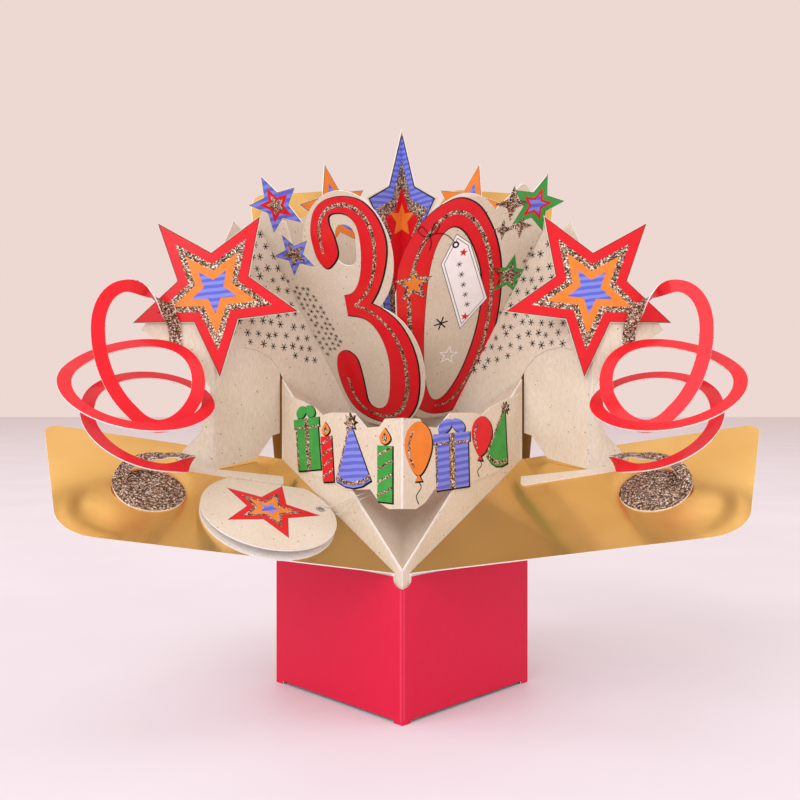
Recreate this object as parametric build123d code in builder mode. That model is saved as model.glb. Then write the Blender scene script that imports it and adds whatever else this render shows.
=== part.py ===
"""Pop-up card: a square card sleeve that stands on the table and holds foil wings, folded
buff card layers, numerals, stars, streamers, a banner and a round tag. Sizes in mm.

Z is up, X runs to the viewer's right and -Y points to the viewer. The drawing's origin is the
middle of the sleeve's foot on the table. Sheets are drawn by their middle surface."""
import math
import os

from build123d import *

os.makedirs("parts", exist_ok=True)

# Driving sizes
sleeve_side = 75.0
sleeve_height = 54.0
card = 0.5
wing_crease_rise = 43.3
wing_fold_angle = 96.6
wing_front_length = 119.0
wing_rear_length = 95.0
wing_inset = 4.0
back_lean = 8.5
back_inner_height = 171.0
back_outer_height = 156.0
gusset_angle = 45.0
gusset_depth = 92.0
screen_fold_height = 67.0
numeral_top_height = 192.0
numeral_reach = 84.0
prow_height = 200.0
prow_forward = 40.0
prow_shift = 5.0
centre_star_top = 249.0
star_radius = 35.0
star_inner_share = 0.43
star_height = 162.5
star_tilt = 4.0
waist_share = 0.4
banner_reach = 69.5
banner_end_height = 121.5
tag_radius = 26.0
tag_opening = 4.5
thread_diameter = 0.4
streamer_width = 5.0
streamer_disc_radius = 13.0
edge_gap = 1.2

half_diagonal = sleeve_side / math.sqrt(2)
slope = math.sqrt(0.5)
UP = Vector(0, 0, 1)


def ring(layer):
    """Half diagonal of the square on which the middle of a sheet in this layer stands."""
    return half_diagonal - math.sqrt(2) * card * (layer + 0.5)


def sheet_plane(origin, along, across):
    """Plane with its x axis in one direction and its y axis towards another."""
    x_axis = along.normalized()
    return Plane(origin=origin, x_dir=x_axis, z_dir=x_axis.cross(across).normalized())


def star_points(radius, inner, turn, stretch=1.0):
    """Corners of a five-pointed star, its first tip at the angle turn."""
    corners = []
    for step in range(10):
        reach = radius if step % 2 == 0 else inner
        angle = math.radians(turn + 36 * step)
        corners.append((reach * math.cos(angle), stretch * reach * math.sin(angle)))
    return corners


def panel(plane, corners, rounded=()):
    """Flat card panel through the corners; rounded holds pairs of a corner's number and a radius."""
    with BuildSketch(plane) as outline:
        with BuildLine():
            Polyline(*corners, close=True)
        make_face()
        for number, radius in rounded:
            spot = Vector(*corners[number])
            fillet(outline.vertices().sort_by_distance(spot)[0], radius)
    extrude(outline.sketch, amount=card / 2, both=True)


def star_panel(plane, middle, radius, turn, inner_share=star_inner_share, stretch=1.0):
    """Flat card star in a plane, about a middle point of that plane."""
    corners = star_points(radius, radius * inner_share, turn, stretch)
    panel(plane, [(middle[0] + x, middle[1] + y) for x, y in corners])


def front_wall(layer):
    """Plane of the front left wall: x from the front edge to the left edge, y up."""
    return sheet_plane(Vector(0, -ring(layer), 0), Vector(-1, 1, 0), UP)


def back_wall(layer, side=-1):
    """Plane of a back wall: x from the back edge to the side edge, y up."""
    return sheet_plane(Vector(0, ring(layer), 0), Vector(side, -1, 0), UP)


# Sleeve: four pink walls, a thumb notch at the front edge, and corner feet
notch_radius = 3.4
foot_width = 4.5
foot_height = 1.2
with BuildPart() as sleeve:
    with BuildSketch():
        Rectangle(sleeve_side, sleeve_side, rotation=45)
        Rectangle(sleeve_side - 2 * card, sleeve_side - 2 * card, rotation=45, mode=Mode.SUBTRACT)
    extrude(amount=sleeve_height)
    with BuildSketch(Plane.XZ.offset(half_diagonal / 2)):
        with Locations((0, sleeve_height - notch_radius * 0.2)):
            Circle(notch_radius)
    extrude(amount=half_diagonal, mode=Mode.SUBTRACT)
    with BuildSketch():
        Rectangle(sleeve_side - 2 * foot_width, sleeve_side + 2, rotation=45)
        Rectangle(sleeve_side + 2, sleeve_side - 2 * foot_width, rotation=45)
    extrude(amount=foot_height, mode=Mode.SUBTRACT)

# Foil wing: a strip inside the front wall that turns outwards along a slanted crease
strip_width = sleeve_side - 2 * math.sqrt(2) * card * 1.5
wing_base = sleeve_height - 1.4
crease_slope = math.atan(wing_crease_rise / sleeve_side)
fold = math.radians(wing_fold_angle)
wall_out = Vector(-slope, -slope, 0)
wall_along = Vector(-slope, slope, 0)
wing_along = (
    UP * (math.cos(fold) + math.sin(crease_slope) ** 2 * (1 - math.cos(fold)))
    + wall_out * math.cos(crease_slope) * math.sin(fold)
    + wall_along * math.sin(crease_slope) * math.cos(crease_slope) * (1 - math.cos(fold))
)
wing_across = (
    wall_along * (math.cos(fold) + math.cos(crease_slope) ** 2 * (1 - math.cos(fold)))
    - wall_out * math.sin(crease_slope) * math.sin(fold)
    + UP * math.sin(crease_slope) * math.cos(crease_slope) * (1 - math.cos(fold))
)
wing_root = Vector(0, -ring(1), wing_base)
wing_plane = sheet_plane(wing_root, wing_along, wing_across)
wing_normal = wing_along.cross(wing_across).normalized()
if wing_normal.Z < 0:
    wing_normal = wing_normal * -1
crease_end = strip_width - edge_gap
crease_drop = math.tan(crease_slope)


def on_wing(along, across, above=0.0):
    """Place on the left wing, measured along its front edge, across it and above its middle."""
    return wing_root + wing_along * along + wing_across * across + wing_normal * above


def wing_height(x, y):
    """Height of the wing's middle surface over a place on the table."""
    run = (Vector(x, y, 0) - Vector(wing_root.X, wing_root.Y, 0)).dot(wing_normal)
    return wing_base - run / wing_normal.Z


with BuildPart() as foil_left:
    panel(
        front_wall(1),
        [
            (wing_inset, 4),
            (crease_end, 4),
            (crease_end, wing_base + crease_end * crease_drop),
            (wing_inset, wing_base + wing_inset * crease_drop),
        ],
    )
    start = (wing_inset * crease_drop, wing_inset)
    turn_point = (crease_end * crease_drop, crease_end)
    panel(
        wing_plane,
        [
            start,
            (start[0] + wing_front_length, start[1]),
            (turn_point[0] + wing_rear_length, turn_point[1]),
            turn_point,
        ],
        [(1, 15), (2, 5)],
    )

with BuildPart() as foil_right:
    mirror(foil_left.part, about=Plane.YZ)

# Foil back: a strip inside the back wall that leans out above the sleeve
lean = math.radians(back_lean)
back_out = Vector(-slope, slope, 0)
back_crease = sleeve_height + 0.8
back_rise = UP * math.cos(lean) + back_out * math.sin(lean)
with BuildPart() as foil_back_left:
    panel(
        back_wall(1),
        [(edge_gap, 4), (crease_end, 4), (crease_end, back_crease), (edge_gap, back_crease)],
    )
    panel(
        sheet_plane(Vector(0, ring(1), back_crease), Vector(-1, -1, 0), back_rise),
        [
            (edge_gap, 0),
            (crease_end, 0),
            (crease_end, back_outer_height),
            (edge_gap, back_inner_height),
        ],
        [(2, 8), (3, 12)],
    )

with BuildPart() as foil_back_right:
    mirror(foil_back_left.part, about=Plane.YZ)

# Cup: a buff liner inside the front walls whose front edge is folded back into a gusset
liner_foot = 8.0
liner_width = math.sqrt(2) * ring(2)
cup_tip = sleeve_height + 2.3
cup_end = liner_width - edge_gap
fold_rise = math.tan(math.radians(gusset_angle))
gusset_turn = 2 * math.atan(slope / fold_rise)
valley = Vector(0, math.sin(gusset_turn), math.cos(gusset_turn))
cup_point = Vector(0, -ring(2), cup_tip)


def cup_fold(side):
    """Upper end of the cup's slanted fold at a side edge of the sleeve."""
    reach = cup_end * slope
    return Vector(side * reach, reach - ring(2), cup_tip + cup_end * fold_rise)


with BuildPart() as cup:
    for side in (-1, 1):
        panel(
            sheet_plane(Vector(0, -ring(2), 0), Vector(side, 1, 0), UP),
            [
                (0, liner_foot),
                (cup_end, liner_foot),
                (cup_end, cup_tip + cup_end * fold_rise),
                (0, cup_tip),
            ],
        )
        arm = cup_fold(side) - cup_point
        gusset = sheet_plane(cup_point, valley, arm)
        panel(gusset, [(0, 0), (gusset_depth, 0), (arm.dot(gusset.x_dir), arm.dot(gusset.y_dir))])

# Screen: a buff liner inside the back walls that rises behind the numerals and runs past the
# sleeve's side edges to the big stars; the band's ears turn inwards from its edges
arch_start = cup_tip + cup_end * fold_rise + 1.0
arch_top = arch_start + 12.0
screen_end = liner_width + 33.0
screen_shoulder = numeral_top_height + 4.0
tab_half = 10.0
tab_width = 10.0
ear_height = 30.0
ear_reach = 11.0
orange_star = (42.0, 203.0)
orange_radius = 21.0
screen_side = -screen_end * slope
screen_front = ring(2) - screen_end * slope
with BuildPart() as screen:
    for side in (-1, 1):
        panel(
            back_wall(2, side),
            [
                (0, liner_foot),
                (liner_width - edge_gap, liner_foot),
                (liner_width - edge_gap, arch_start),
                (liner_width + 1.5, arch_start + 4.0),
                (liner_width + 6.0, arch_start + 8.5),
                (liner_width + 12.0, arch_top - 1.0),
                (liner_width + 19.0, arch_top),
                (liner_width + 27.0, arch_top - 1.5),
                (screen_end, star_height - tab_half),
                (screen_end, star_height + tab_half),
                (liner_width + 24.0, numeral_top_height - 1.0),
                (liner_width + 17.0, numeral_top_height - 6.0),
                (numeral_reach, numeral_top_height),
                (68.0, screen_shoulder),
                (orange_star[0], orange_star[1]),
                (12.0, screen_shoulder - 16.0),
                (0, screen_shoulder - 20.0),
            ],
        )
        star_panel(back_wall(2, side), orange_star, orange_radius, 72, 0.45)
        with BuildSketch(Plane.XZ.offset(-screen_front)):
            with Locations((side * (-screen_side + tab_width / 2 - 0.3), star_height)):
                Rectangle(tab_width + 0.6, 2 * tab_half)
        extrude(amount=card / 2, both=True)
        ear_root = (liner_width - edge_gap) * slope
        with BuildSketch(Plane.XZ.offset(ear_root - ring(2))):
            with Locations((side * (ear_root - ear_reach / 2 + 0.1), ear_height)):
                Rectangle(ear_reach + 0.2, 18)
            with Locations((side * (ear_root - ear_reach + 6.0), ear_height)):
                Rectangle(3.4, 6, mode=Mode.SUBTRACT)
        extrude(amount=card / 2, both=True)

# Rubber band: stretched between the ears, it pulls the sleeve square
band_width = 1.2
band_height = 3.0
band_half = ear_root - ear_reach + 6.0
band_line = ear_root - ring(2)
with BuildPart() as rubber_band:
    with BuildSketch(Plane.XY.offset(ear_height - band_height / 2)):
        with Locations((0, -band_line)):
            SlotCenterToCenter(2 * band_half - 3.2, 4.4)
            SlotCenterToCenter(2 * band_half - 3.2, 4.4 - 2 * band_width, mode=Mode.SUBTRACT)
    extrude(amount=band_height)

# Numeral panels: a folded prow that leans forward from slanted folds on the screen
prow_root = Vector(0, ring(3), screen_fold_height)
prow_top = Vector(-prow_shift, -prow_forward, prow_height)
prow_along = (prow_top - prow_root).normalized()
fold_rise_share = (numeral_top_height - screen_fold_height) / numeral_reach


def prow_plane(side, behind=0.0):
    """Plane of a numeral panel: x along the prow's edge from its root, y out to that side."""
    rim = Vector(side * numeral_reach * slope, ring(3) - numeral_reach * slope, numeral_top_height)
    plane = sheet_plane(prow_root, prow_along, rim - prow_root)
    back = plane.z_dir if plane.z_dir.Y > 0 else plane.z_dir * -1
    return Plane(origin=prow_root + back * behind, x_dir=plane.x_dir, z_dir=plane.z_dir)


def rim_point(side, reach):
    """Point of a numeral panel's fold on the screen, in the panel's plane, for a reach on the wall."""
    spot = Vector(side * reach * slope, -reach * slope, reach * fold_rise_share)
    plane = prow_plane(side)
    return (spot.dot(plane.x_dir), spot.dot(plane.y_dir))


flap_width = 6.0
flap_low = 47.0


def fold_height(reach):
    """Height of a numeral panel's fold on the screen at a reach from the back edge."""
    return screen_fold_height + reach * fold_rise_share


def glue_flap(side):
    """Narrow flap on the screen's face along the fold of a numeral panel."""
    flap_high = numeral_reach - 4.0
    panel(
        back_wall(3, side),
        [
            (flap_low, fold_height(flap_low)),
            (flap_high, fold_height(flap_high)),
            (flap_high - flap_width, fold_height(flap_high - 1.0)),
            (flap_low - flap_width, fold_height(flap_low + 1.0)),
        ],
    )


def trim_at_fold(side):
    """Cuts off what a numeral panel would have beyond its fold on the screen."""
    low = rim_point(side, 10.0)
    high = rim_point(side, numeral_reach - 0.5)
    away = (low[1] - high[1], high[0] - low[0])
    share = 20.0 / math.hypot(*away)
    with BuildSketch(prow_plane(side)) as beyond:
        with BuildLine():
            Polyline(
                low,
                high,
                (high[0] + away[0] * share, high[1] + away[1] * share),
                (low[0] + away[0] * share, low[1] + away[1] * share),
                close=True,
            )
        make_face()
    extrude(beyond.sketch, amount=card, both=True, mode=Mode.SUBTRACT)


three_low = rim_point(-1, 35.0)
three_high = rim_point(-1, numeral_reach)
window = (three_high[0] - 4.5, 19.8)
with BuildPart() as three_panel:
    panel(
        prow_plane(-1),
        [
            three_low,
            three_high,
            (three_high[0] + 7.0, three_high[1] - 3.0),
            (three_high[0] + 2.0, three_high[1] - 13.0),
            (three_high[0] - 14.0, three_high[1] - 16.0),
            (three_high[0] - 18.0, three_high[1] - 22.0),
            (three_high[0] - 16.0, 15.0),
            (three_high[0] - 32.0, 9.0),
            (three_low[0] - 1.0, 12.0),
        ],
    )
    star_panel(prow_plane(-1), (three_high[0] + 9.0, three_high[1] - 9.5), 13.0, 25, 0.45)
    with BuildSketch(prow_plane(-1)):
        with Locations((three_high[0] - 9.3, 19.4)):
            Ellipse(27.8, 20.0)
        with Locations((three_high[0] - 61.3, 8.5)):
            Ellipse(31.0, 21.7)
    extrude(amount=card / 2, both=True)
    with BuildSketch(prow_plane(-1)):
        with Locations(window):
            SlotOverall(18.0, 9.0)
    extrude(amount=card, both=True, mode=Mode.SUBTRACT)
    trim_at_fold(-1)
    glue_flap(-1)

zero_low = rim_point(1, 35.0)
zero_high = rim_point(1, numeral_reach)
prow_clear = 1.5 * card
tab_low = three_high[0] - 77.0
tab_high = three_high[0] - 41.0
with BuildPart() as zero_panel:
    panel(
        prow_plane(1),
        [
            zero_low,
            zero_high,
            (zero_high[0] + 6.0, zero_high[1] - 2.0),
            (zero_high[0] + 11.0, zero_high[1] - 5.0),
            (zero_high[0] + 19.5, zero_high[1] - 11.0),
            (zero_high[0] + 10.0, zero_high[1] - 22.5),
            (zero_high[0] - 5.0, zero_high[1] - 25.0),
            (zero_low[0] - 1.0, 14.0),
        ],
        [(4, 2)],
    )
    star_panel(prow_plane(1), (zero_high[0] + 9.0, zero_high[1] - 5.0), 13.0, 20, 0.45)
    with BuildSketch(prow_plane(1)):
        with Locations((zero_high[0] - 34.0, 24.5)):
            Ellipse(53.0, 26.0, rotation=9)
    extrude(amount=card / 2, both=True)
    with BuildSketch(prow_plane(1)):
        with Locations((zero_high[0] - 35.0, prow_clear - 10.0)):
            Rectangle(140.0, 20.0)
    extrude(amount=card, both=True, mode=Mode.SUBTRACT)
    trim_at_fold(1)
    glue_flap(1)
    panel(
        prow_plane(-1, card),
        [(tab_low, -2.0 * card), (tab_high, -2.0 * card), (tab_high - 2.0, 7.0), (tab_low + 2.0, 7.0)],
    )

# Centre star: a tall star folded along the back edge, glued to the screen
with BuildPart() as centre_star:
    for side in (-1, 1):
        panel(
            back_wall(3, side),
            [
                (0, centre_star_top - 128.0),
                (9.0, centre_star_top - 108.0),
                (14.0, centre_star_top - 78.0),
                (20.0, centre_star_top - 70.0),
                (13.5, centre_star_top - 50.0),
                (23.0, centre_star_top - 37.0),
                (9.0, centre_star_top - 29.0),
                (0, centre_star_top),
            ],
        )

# Big stars: flat plates that face the viewer, glued to the screen's end tabs
star_line = screen_front - card
star_middle = screen_side
with BuildPart() as star_left:
    star_panel(Plane.XZ.offset(-star_line), (star_middle, star_height), star_radius, star_tilt - 90)

with BuildPart() as star_right:
    mirror(star_left.part, about=Plane.YZ)

# Legs: folded struts behind the stars that stand on the wings
leg_line = screen_front + card
leg_corner = (ring(1) - leg_line) / slope
leg_x = -leg_corner * slope
foot_x = leg_x - 15.0
lift = card / wing_normal.Z
foot_plane = sheet_plane(on_wing(0, 0, card), wing_along, wing_across)


def leg_foot(x, y):
    """Height of the top face of the wing over a place, with room for a sheet."""
    return wing_height(x, y) + lift


def in_foot(x, y):
    """Place over the wing in the foot flap's plane."""
    spot = Vector(x, y, leg_foot(x, y)) - foot_plane.origin
    return (spot.dot(foot_plane.x_dir), spot.dot(foot_plane.y_dir))


leg_base = leg_foot(leg_x, leg_line)
leg_rise = star_height - leg_base
waist_height = leg_base + waist_share * leg_rise
waist_half = 0.2 * leg_rise
leg_tip = (leg_x - 29.0, waist_height + 0.38 * leg_rise)
leg_side_x = -liner_width * slope - 0.5
leg_side_y = ring(1) + leg_side_x
side_reach = -leg_side_x / slope
with BuildPart() as leg_left:
    panel(
        Plane.XZ.offset(-leg_line),
        [
            (leg_x, leg_base),
            (foot_x, leg_foot(foot_x, leg_line)),
            (leg_x - 6.0, waist_height - waist_half),
            (leg_x - 1.5, waist_height - 0.2 * waist_half),
            (leg_x - 1.5, waist_height + 0.3 * waist_half),
            (leg_x - 10.0, waist_height + waist_half),
            leg_tip,
            (leg_x - 12.0, star_height + 8.0),
            (leg_x, star_height + 14.0),
        ],
    )
    panel(
        back_wall(1),
        [
            (leg_corner, leg_base),
            (side_reach + 12.0, leg_foot(leg_side_x - 12.0 * slope, leg_side_y - 12.0 * slope) + 0.8),
            (side_reach + 4.0, wing_height(leg_side_x, leg_side_y) + 9.0),
            (side_reach, wing_height(leg_side_x, leg_side_y) + 10.0),
            (side_reach, star_height - 4.0),
            (side_reach + 10.0, star_height + 10.0),
            (leg_corner, star_height + 14.0),
        ],
    )
    heel = in_foot(foot_x, leg_line)
    ankle = in_foot(leg_x, leg_line)
    panel(
        foot_plane,
        [
            (heel[0], heel[1] + 0.2),
            (heel[0] - 4.5, heel[1] - 8.0),
            (ankle[0] - 28.0, ankle[1] - 4.5),
            (ankle[0] - 28.0, ankle[1] + 2.0),
            (ankle[0], ankle[1] + 0.2),
        ],
        [(2, 2)],
    )

with BuildPart() as leg_right:
    mirror(leg_left.part, about=Plane.YZ)

# Streamers: a card spiral that leaves a disc on the wing at its outer side and ends on the leg's leaf
disc_middle = on_wing(93.0, 35.6, card)
loops = 4
steps = 18
first_step = 6
first_turn = first_step / steps
loop_middles = [
    (first_turn, disc_middle + wing_normal * 0.15),
    (0.5, disc_middle + wing_normal * 2.0),
    (0.75, disc_middle + Vector(-1.5, 1.0, 6.0)),
    (1.0, disc_middle + Vector(-3.0, 2.0, 15.5)),
    (1.5, disc_middle + Vector(-2.0, 2.0, 29.0)),
    (2.0, disc_middle + Vector(-2.0, 1.0, 36.5)),
    (2.5, disc_middle + Vector(-6.0, 0.0, 37.0)),
    (3.0, disc_middle + Vector(-3.0, 1.0, 42.5)),
    (3.5, disc_middle + Vector(-3.0, 3.0, 55.0)),
    (4.0, disc_middle + Vector(-6.0, 5.0, 52.0)),
]
loop_radii = [(first_turn, streamer_disc_radius - 0.52 * streamer_width), (0.5, 12.0), (0.75, 14.5)]
loop_radii += [(1.0, 18.0), (1.5, 21.5), (2.5, 25.5), (3.5, 26.0), (4.0, 24.0)]
loop_widths = [(0.0, 1.0), (2.6, 1.0), (3.3, 0.62), (4.0, 0.58)]
loop_tilts = [(0.0, 0.0), (1.0, 0.0), (1.5, 2.0), (2.5, 1.0), (3.2, 38.0), (4.0, 44.0)]
loop_slants = [(0.0, 0.0), (2.6, 0.0), (3.3, 24.0), (4.0, 20.0)]
streamer_end = Vector(leg_x - 15.0, leg_line - 1.9 * card, waist_height + 0.275 * leg_rise)
leg_turns = 0.22


def between(stops, turn):
    """Value at a turn count, straight between the stops on either side of it."""
    for (low, first), (high, second) in zip(stops, stops[1:]):
        if turn <= high:
            share = (turn - low) / (high - low)
            return first * (1 - share) + second * share
    return stops[-1][1]


def streamer_point(turn, outward=0.0):
    """Place on the streamer's free loops, or beside it, after a number of turns."""
    tilt, slant = math.radians(between(loop_tilts, turn)), math.radians(between(loop_slants, turn))
    angle = -2 * math.pi * turn - 0.35
    rise = wing_across * math.cos(tilt) + wing_normal * math.sin(tilt)
    reach = between(loop_radii, turn)
    p = math.cos(angle) * (reach * between(loop_widths, turn) + outward)
    q = math.sin(angle) * (reach + outward)
    spot = between(loop_middles, turn) - wing_along * (p * math.cos(slant) - q * math.sin(slant))
    return spot + rise * (p * math.sin(slant) + q * math.cos(slant))


def leg_pull(turn):
    """How far the streamer is drawn to the leg: 0 on the free loops, 1 at its end."""
    share = min(1.0, max(0.0, (turn - loops) / leg_turns + 1.0))
    return share * share * (3 - 2 * share)


def streamer_spot(turn, outward=0.0):
    """The same place, drawn to the leg over the last part of the last loop."""
    return streamer_point(turn, outward) + (streamer_end - streamer_point(loops)) * leg_pull(turn)


with BuildPart() as streamer_left:
    for step in range(first_step, loops * steps + 1):
        turn = step / steps
        here = streamer_spot(turn)
        ahead = (streamer_spot(turn + 0.004) - streamer_spot(turn - 0.004)).normalized()
        outward = streamer_spot(turn, 1.0) - here
        outward = Vector(outward.X, outward.Y * (1.0 - leg_pull(turn)), outward.Z)
        outward = (outward - ahead * outward.dot(ahead)).normalized()
        with BuildSketch(Plane(origin=here, x_dir=outward, z_dir=ahead)):
            Rectangle(streamer_width, card)
    loft(ruled=True)
    with BuildSketch(sheet_plane(disc_middle, wing_along, wing_across)):
        Circle(streamer_disc_radius)
    extrude(amount=card / 2, both=True)

with BuildPart() as streamer_right:
    mirror(streamer_left.part, about=Plane.YZ)

# Banner: a curved die-cut card glued across the front of the cup, folded at its middle
banner_lower = [(0, 0.385), (7, 0.337), (12, 0.339), (17, 0.385), (30, 0.273), (41, 0.238)]
banner_lower += [(50, 0.176), (57, 0.14), (63, 0.43)]
banner_upper = [(58, 0.917), (50, 0.862), (45, 0.8), (40, 0.837), (26, 0.862), (19, 0.775)]
banner_upper += [(12, 0.799), (9, 0.851), (0, 0.869)]
banner_tip = [(banner_reach - 0.7, 0.913), (banner_reach, 1.0)]


def banner_point(reach, share):
    """Corner of the banner: a share of the way from the wing's crease up to the banner's end height."""
    crease = wing_base + reach * crease_drop
    return (reach, crease + share * (banner_end_height - crease))


with BuildPart() as banner:
    for side in (-1, 1):
        panel(
            sheet_plane(Vector(0, -ring(1), 0), Vector(side, 1, 0), UP),
            [banner_point(*corner) for corner in banner_lower + banner_tip + banner_upper],
        )

# Banner strut: a small fold from the cup's valley to the back of the banner
strut_foot = cup_point + valley * 52.0 + UP * 0.9
strut_half = 7.5
strut_height = banner_end_height - 18.0
strut_head = Vector(0, -ring(2), strut_height)


def strut_wing(side):
    """Outer upper corner of one half of the strut."""
    return strut_head + Vector(side * slope, slope, 0) * strut_half


with BuildPart() as banner_strut:
    for side in (-1, 1):
        flank = sheet_plane(strut_foot, strut_head - strut_foot, strut_wing(side) - strut_head)
        corners = []
        for spot in (strut_foot, strut_head, strut_wing(side)):
            run = spot - strut_foot
            corners.append((run.dot(flank.x_dir), run.dot(flank.y_dir)))
        panel(flank, corners)
        panel(
            sheet_plane(Vector(0, -ring(2), strut_height), Vector(side, 1, 0), UP),
            [(0, 0), (strut_half, 0), (strut_half - 1, 6), (0, 6)],
        )

# Gift tag: a folded round card on the left wing, its top leaf a little open
tag_middle = on_wing(48.7, 29.0, card)
tag_fold = 21.0
hole_place = (-20.5, 6.5)
hole_radius = 2.0
leaf_turn = math.radians(tag_opening)
leaf_down = (wing_across * -1) * math.cos(leaf_turn) + wing_normal * math.sin(leaf_turn)
leaf_origin = tag_middle + wing_across * tag_fold + wing_normal * card * 1.1
leaf_plane = sheet_plane(leaf_origin, wing_along, leaf_down * -1)
with BuildPart() as gift_tag:
    with BuildSketch(sheet_plane(tag_middle, wing_along, wing_across)):
        Circle(tag_radius)
        with Locations((0, tag_fold + 5)):
            Rectangle(60, 10, mode=Mode.SUBTRACT)
        with Locations(hole_place):
            Circle(hole_radius, mode=Mode.SUBTRACT)
    extrude(amount=card / 2, both=True)
    with BuildSketch(leaf_plane):
        with Locations((0, -tag_fold)):
            Circle(tag_radius)
        with Locations((0, 5.0)):
            Rectangle(60, 10, mode=Mode.SUBTRACT)
        with Locations((hole_place[0], hole_place[1] - tag_fold)):
            Circle(hole_radius, mode=Mode.SUBTRACT)
    extrude(amount=card / 2, both=True)
    hinge_half = math.sqrt(tag_radius**2 - tag_fold**2) - 1.0
    hinge_base = tag_middle + wing_across * (tag_fold - card)
    panel(
        sheet_plane(hinge_base, wing_along, wing_normal),
        [(-hinge_half, 0), (hinge_half, 0), (hinge_half, card * 1.1), (-hinge_half, card * 1.1)],
    )

# Tag thread: a thin elastic loop from the strut over the cup's fold and through the tag's upper leaf
hole_here = leaf_origin + wing_along * hole_place[0] - leaf_down * (hole_place[1] - tag_fold)
leaf_up = leaf_plane.z_dir if leaf_plane.z_dir.Z > 0 else leaf_plane.z_dir * -1
loop_half = leaf_down * 1.4 - leaf_up * 0.55
gate_reach = 22.0
gate = Vector(-gate_reach * slope, gate_reach * slope - ring(1.5), cup_tip + gate_reach * fold_rise)
tie = strut_foot * 0.5 + strut_wing(-1) * 0.5 - Vector(thread_diameter + 0.4, 0, 0)
route = [
    tie,
    gate - wall_out * 4.0 + UP * 5.0,
    gate + wall_out * 3.0 + UP * 4.2,
    hole_here - wing_along * 6.5 - loop_half + leaf_up * 0.9,
    hole_here + wing_along * 1.4 - loop_half,
    hole_here + wing_along * 1.4 + loop_half,
    hole_here - wing_along * 8.5 + loop_half - leaf_up * 0.3,
    gate + wall_out * 4.0 + UP * 2.8 + wall_along * -1.6,
    gate - wall_out * 3.6 + UP * 3.8 + wall_along * -1.6,
    tie + Vector(-0.4, 1.6, -2.6),
]
with BuildPart() as tag_thread:
    with BuildLine() as thread_line:
        here = route[0]
        for before, corner, after in zip(route, route[1:], route[2:]):
            run_in = corner - before
            run_out = after - corner
            bend = 0.45 * min(run_in.length, run_out.length)
            arc_start = corner - run_in.normalized() * bend
            arc_end = corner + run_out.normalized() * bend
            Line(here, arc_start)
            TangentArc(arc_start, arc_end, tangent=run_in)
            print("thread radius", round(bend / math.tan(math.radians(run_in.get_angle(run_out)) / 2), 2))
            here = arc_end
        Line(here, route[-1])
    with BuildSketch(Plane(origin=route[0], z_dir=route[1] - route[0])):
        Circle(thread_diameter / 2)
    sweep()
    print("thread length", round(thread_line.wires()[0].length, 1))

pieces = {
    "sleeve": sleeve,
    "foil_left": foil_left,
    "foil_right": foil_right,
    "foil_back_left": foil_back_left,
    "foil_back_right": foil_back_right,
    "cup": cup,
    "screen": screen,
    "rubber_band": rubber_band,
    "three_panel": three_panel,
    "zero_panel": zero_panel,
    "centre_star": centre_star,
    "star_left": star_left,
    "star_right": star_right,
    "leg_left": leg_left,
    "leg_right": leg_right,
    "streamer_left": streamer_left,
    "streamer_right": streamer_right,
    "banner": banner,
    "banner_strut": banner_strut,
    "gift_tag": gift_tag,
    "tag_thread": tag_thread,
}
# The row's origin is the middle of the whole object's footprint, on the table
boxes = [piece.part.bounding_box() for piece in pieces.values()]
middle_y = (min(box.min.Y for box in boxes) + max(box.max.Y for box in boxes)) / 2
to_origin = Location((0, -middle_y, 0))
for name, piece in pieces.items():
    placed = piece.part.moved(to_origin)
    placed.label = name
    export_step(placed, f"parts/{name}.step")
print("sleeve axis", round(-middle_y, 3))
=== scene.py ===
"""Looks of the pop-up card: printed card, gold foil, glitter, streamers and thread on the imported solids.

Lengths are in mm in the drawing and become metres when a mesh is made. The drawing's middle is the
sleeve's upright axis; u and v are lengths along and across a flat side of a sheet."""
import math
import random

import bmesh
import bpy
from mathutils import Matrix, Vector
from mathutils.bvhtree import BVHTree
from mathutils.geometry import tessellate_polygon


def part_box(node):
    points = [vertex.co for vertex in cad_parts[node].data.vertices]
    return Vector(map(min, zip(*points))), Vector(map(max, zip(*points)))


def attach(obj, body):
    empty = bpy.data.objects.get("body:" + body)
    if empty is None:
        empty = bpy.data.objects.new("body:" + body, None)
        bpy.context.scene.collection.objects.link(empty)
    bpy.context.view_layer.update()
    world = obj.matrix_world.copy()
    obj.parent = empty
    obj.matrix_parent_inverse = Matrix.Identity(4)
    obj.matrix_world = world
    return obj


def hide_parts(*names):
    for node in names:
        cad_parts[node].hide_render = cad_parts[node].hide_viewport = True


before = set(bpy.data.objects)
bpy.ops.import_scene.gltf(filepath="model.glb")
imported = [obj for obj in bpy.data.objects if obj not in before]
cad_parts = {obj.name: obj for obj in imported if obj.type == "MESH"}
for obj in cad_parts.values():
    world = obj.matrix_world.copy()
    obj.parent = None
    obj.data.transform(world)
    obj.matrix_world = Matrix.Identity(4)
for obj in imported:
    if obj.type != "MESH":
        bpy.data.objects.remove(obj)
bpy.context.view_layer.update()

MM = 0.001

# Sizes of the card, as in the solids
card = 0.5
sleeve_side = 75.0
sleeve_height = 54.0
wing_crease_rise = 43.3
wing_fold_angle = 96.6
wing_drop = 1.4
cup_rise = 2.3
screen_fold_height = 67.0
numeral_top_height = 192.0
numeral_reach = 84.0
prow_top = Vector((-5.0, -40.0, 200.0))
star_radius = 35.0
star_share = 0.43
star_height = 162.5
star_tilt = 4.0
screen_end = 105.5
tag_place = (48.7, 29.0)
tag_fold = 21.0
tag_opening = 4.5
cup_tip = sleeve_height + cup_rise
streamer_width = 5.0
disc_radius = 13.0

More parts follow.
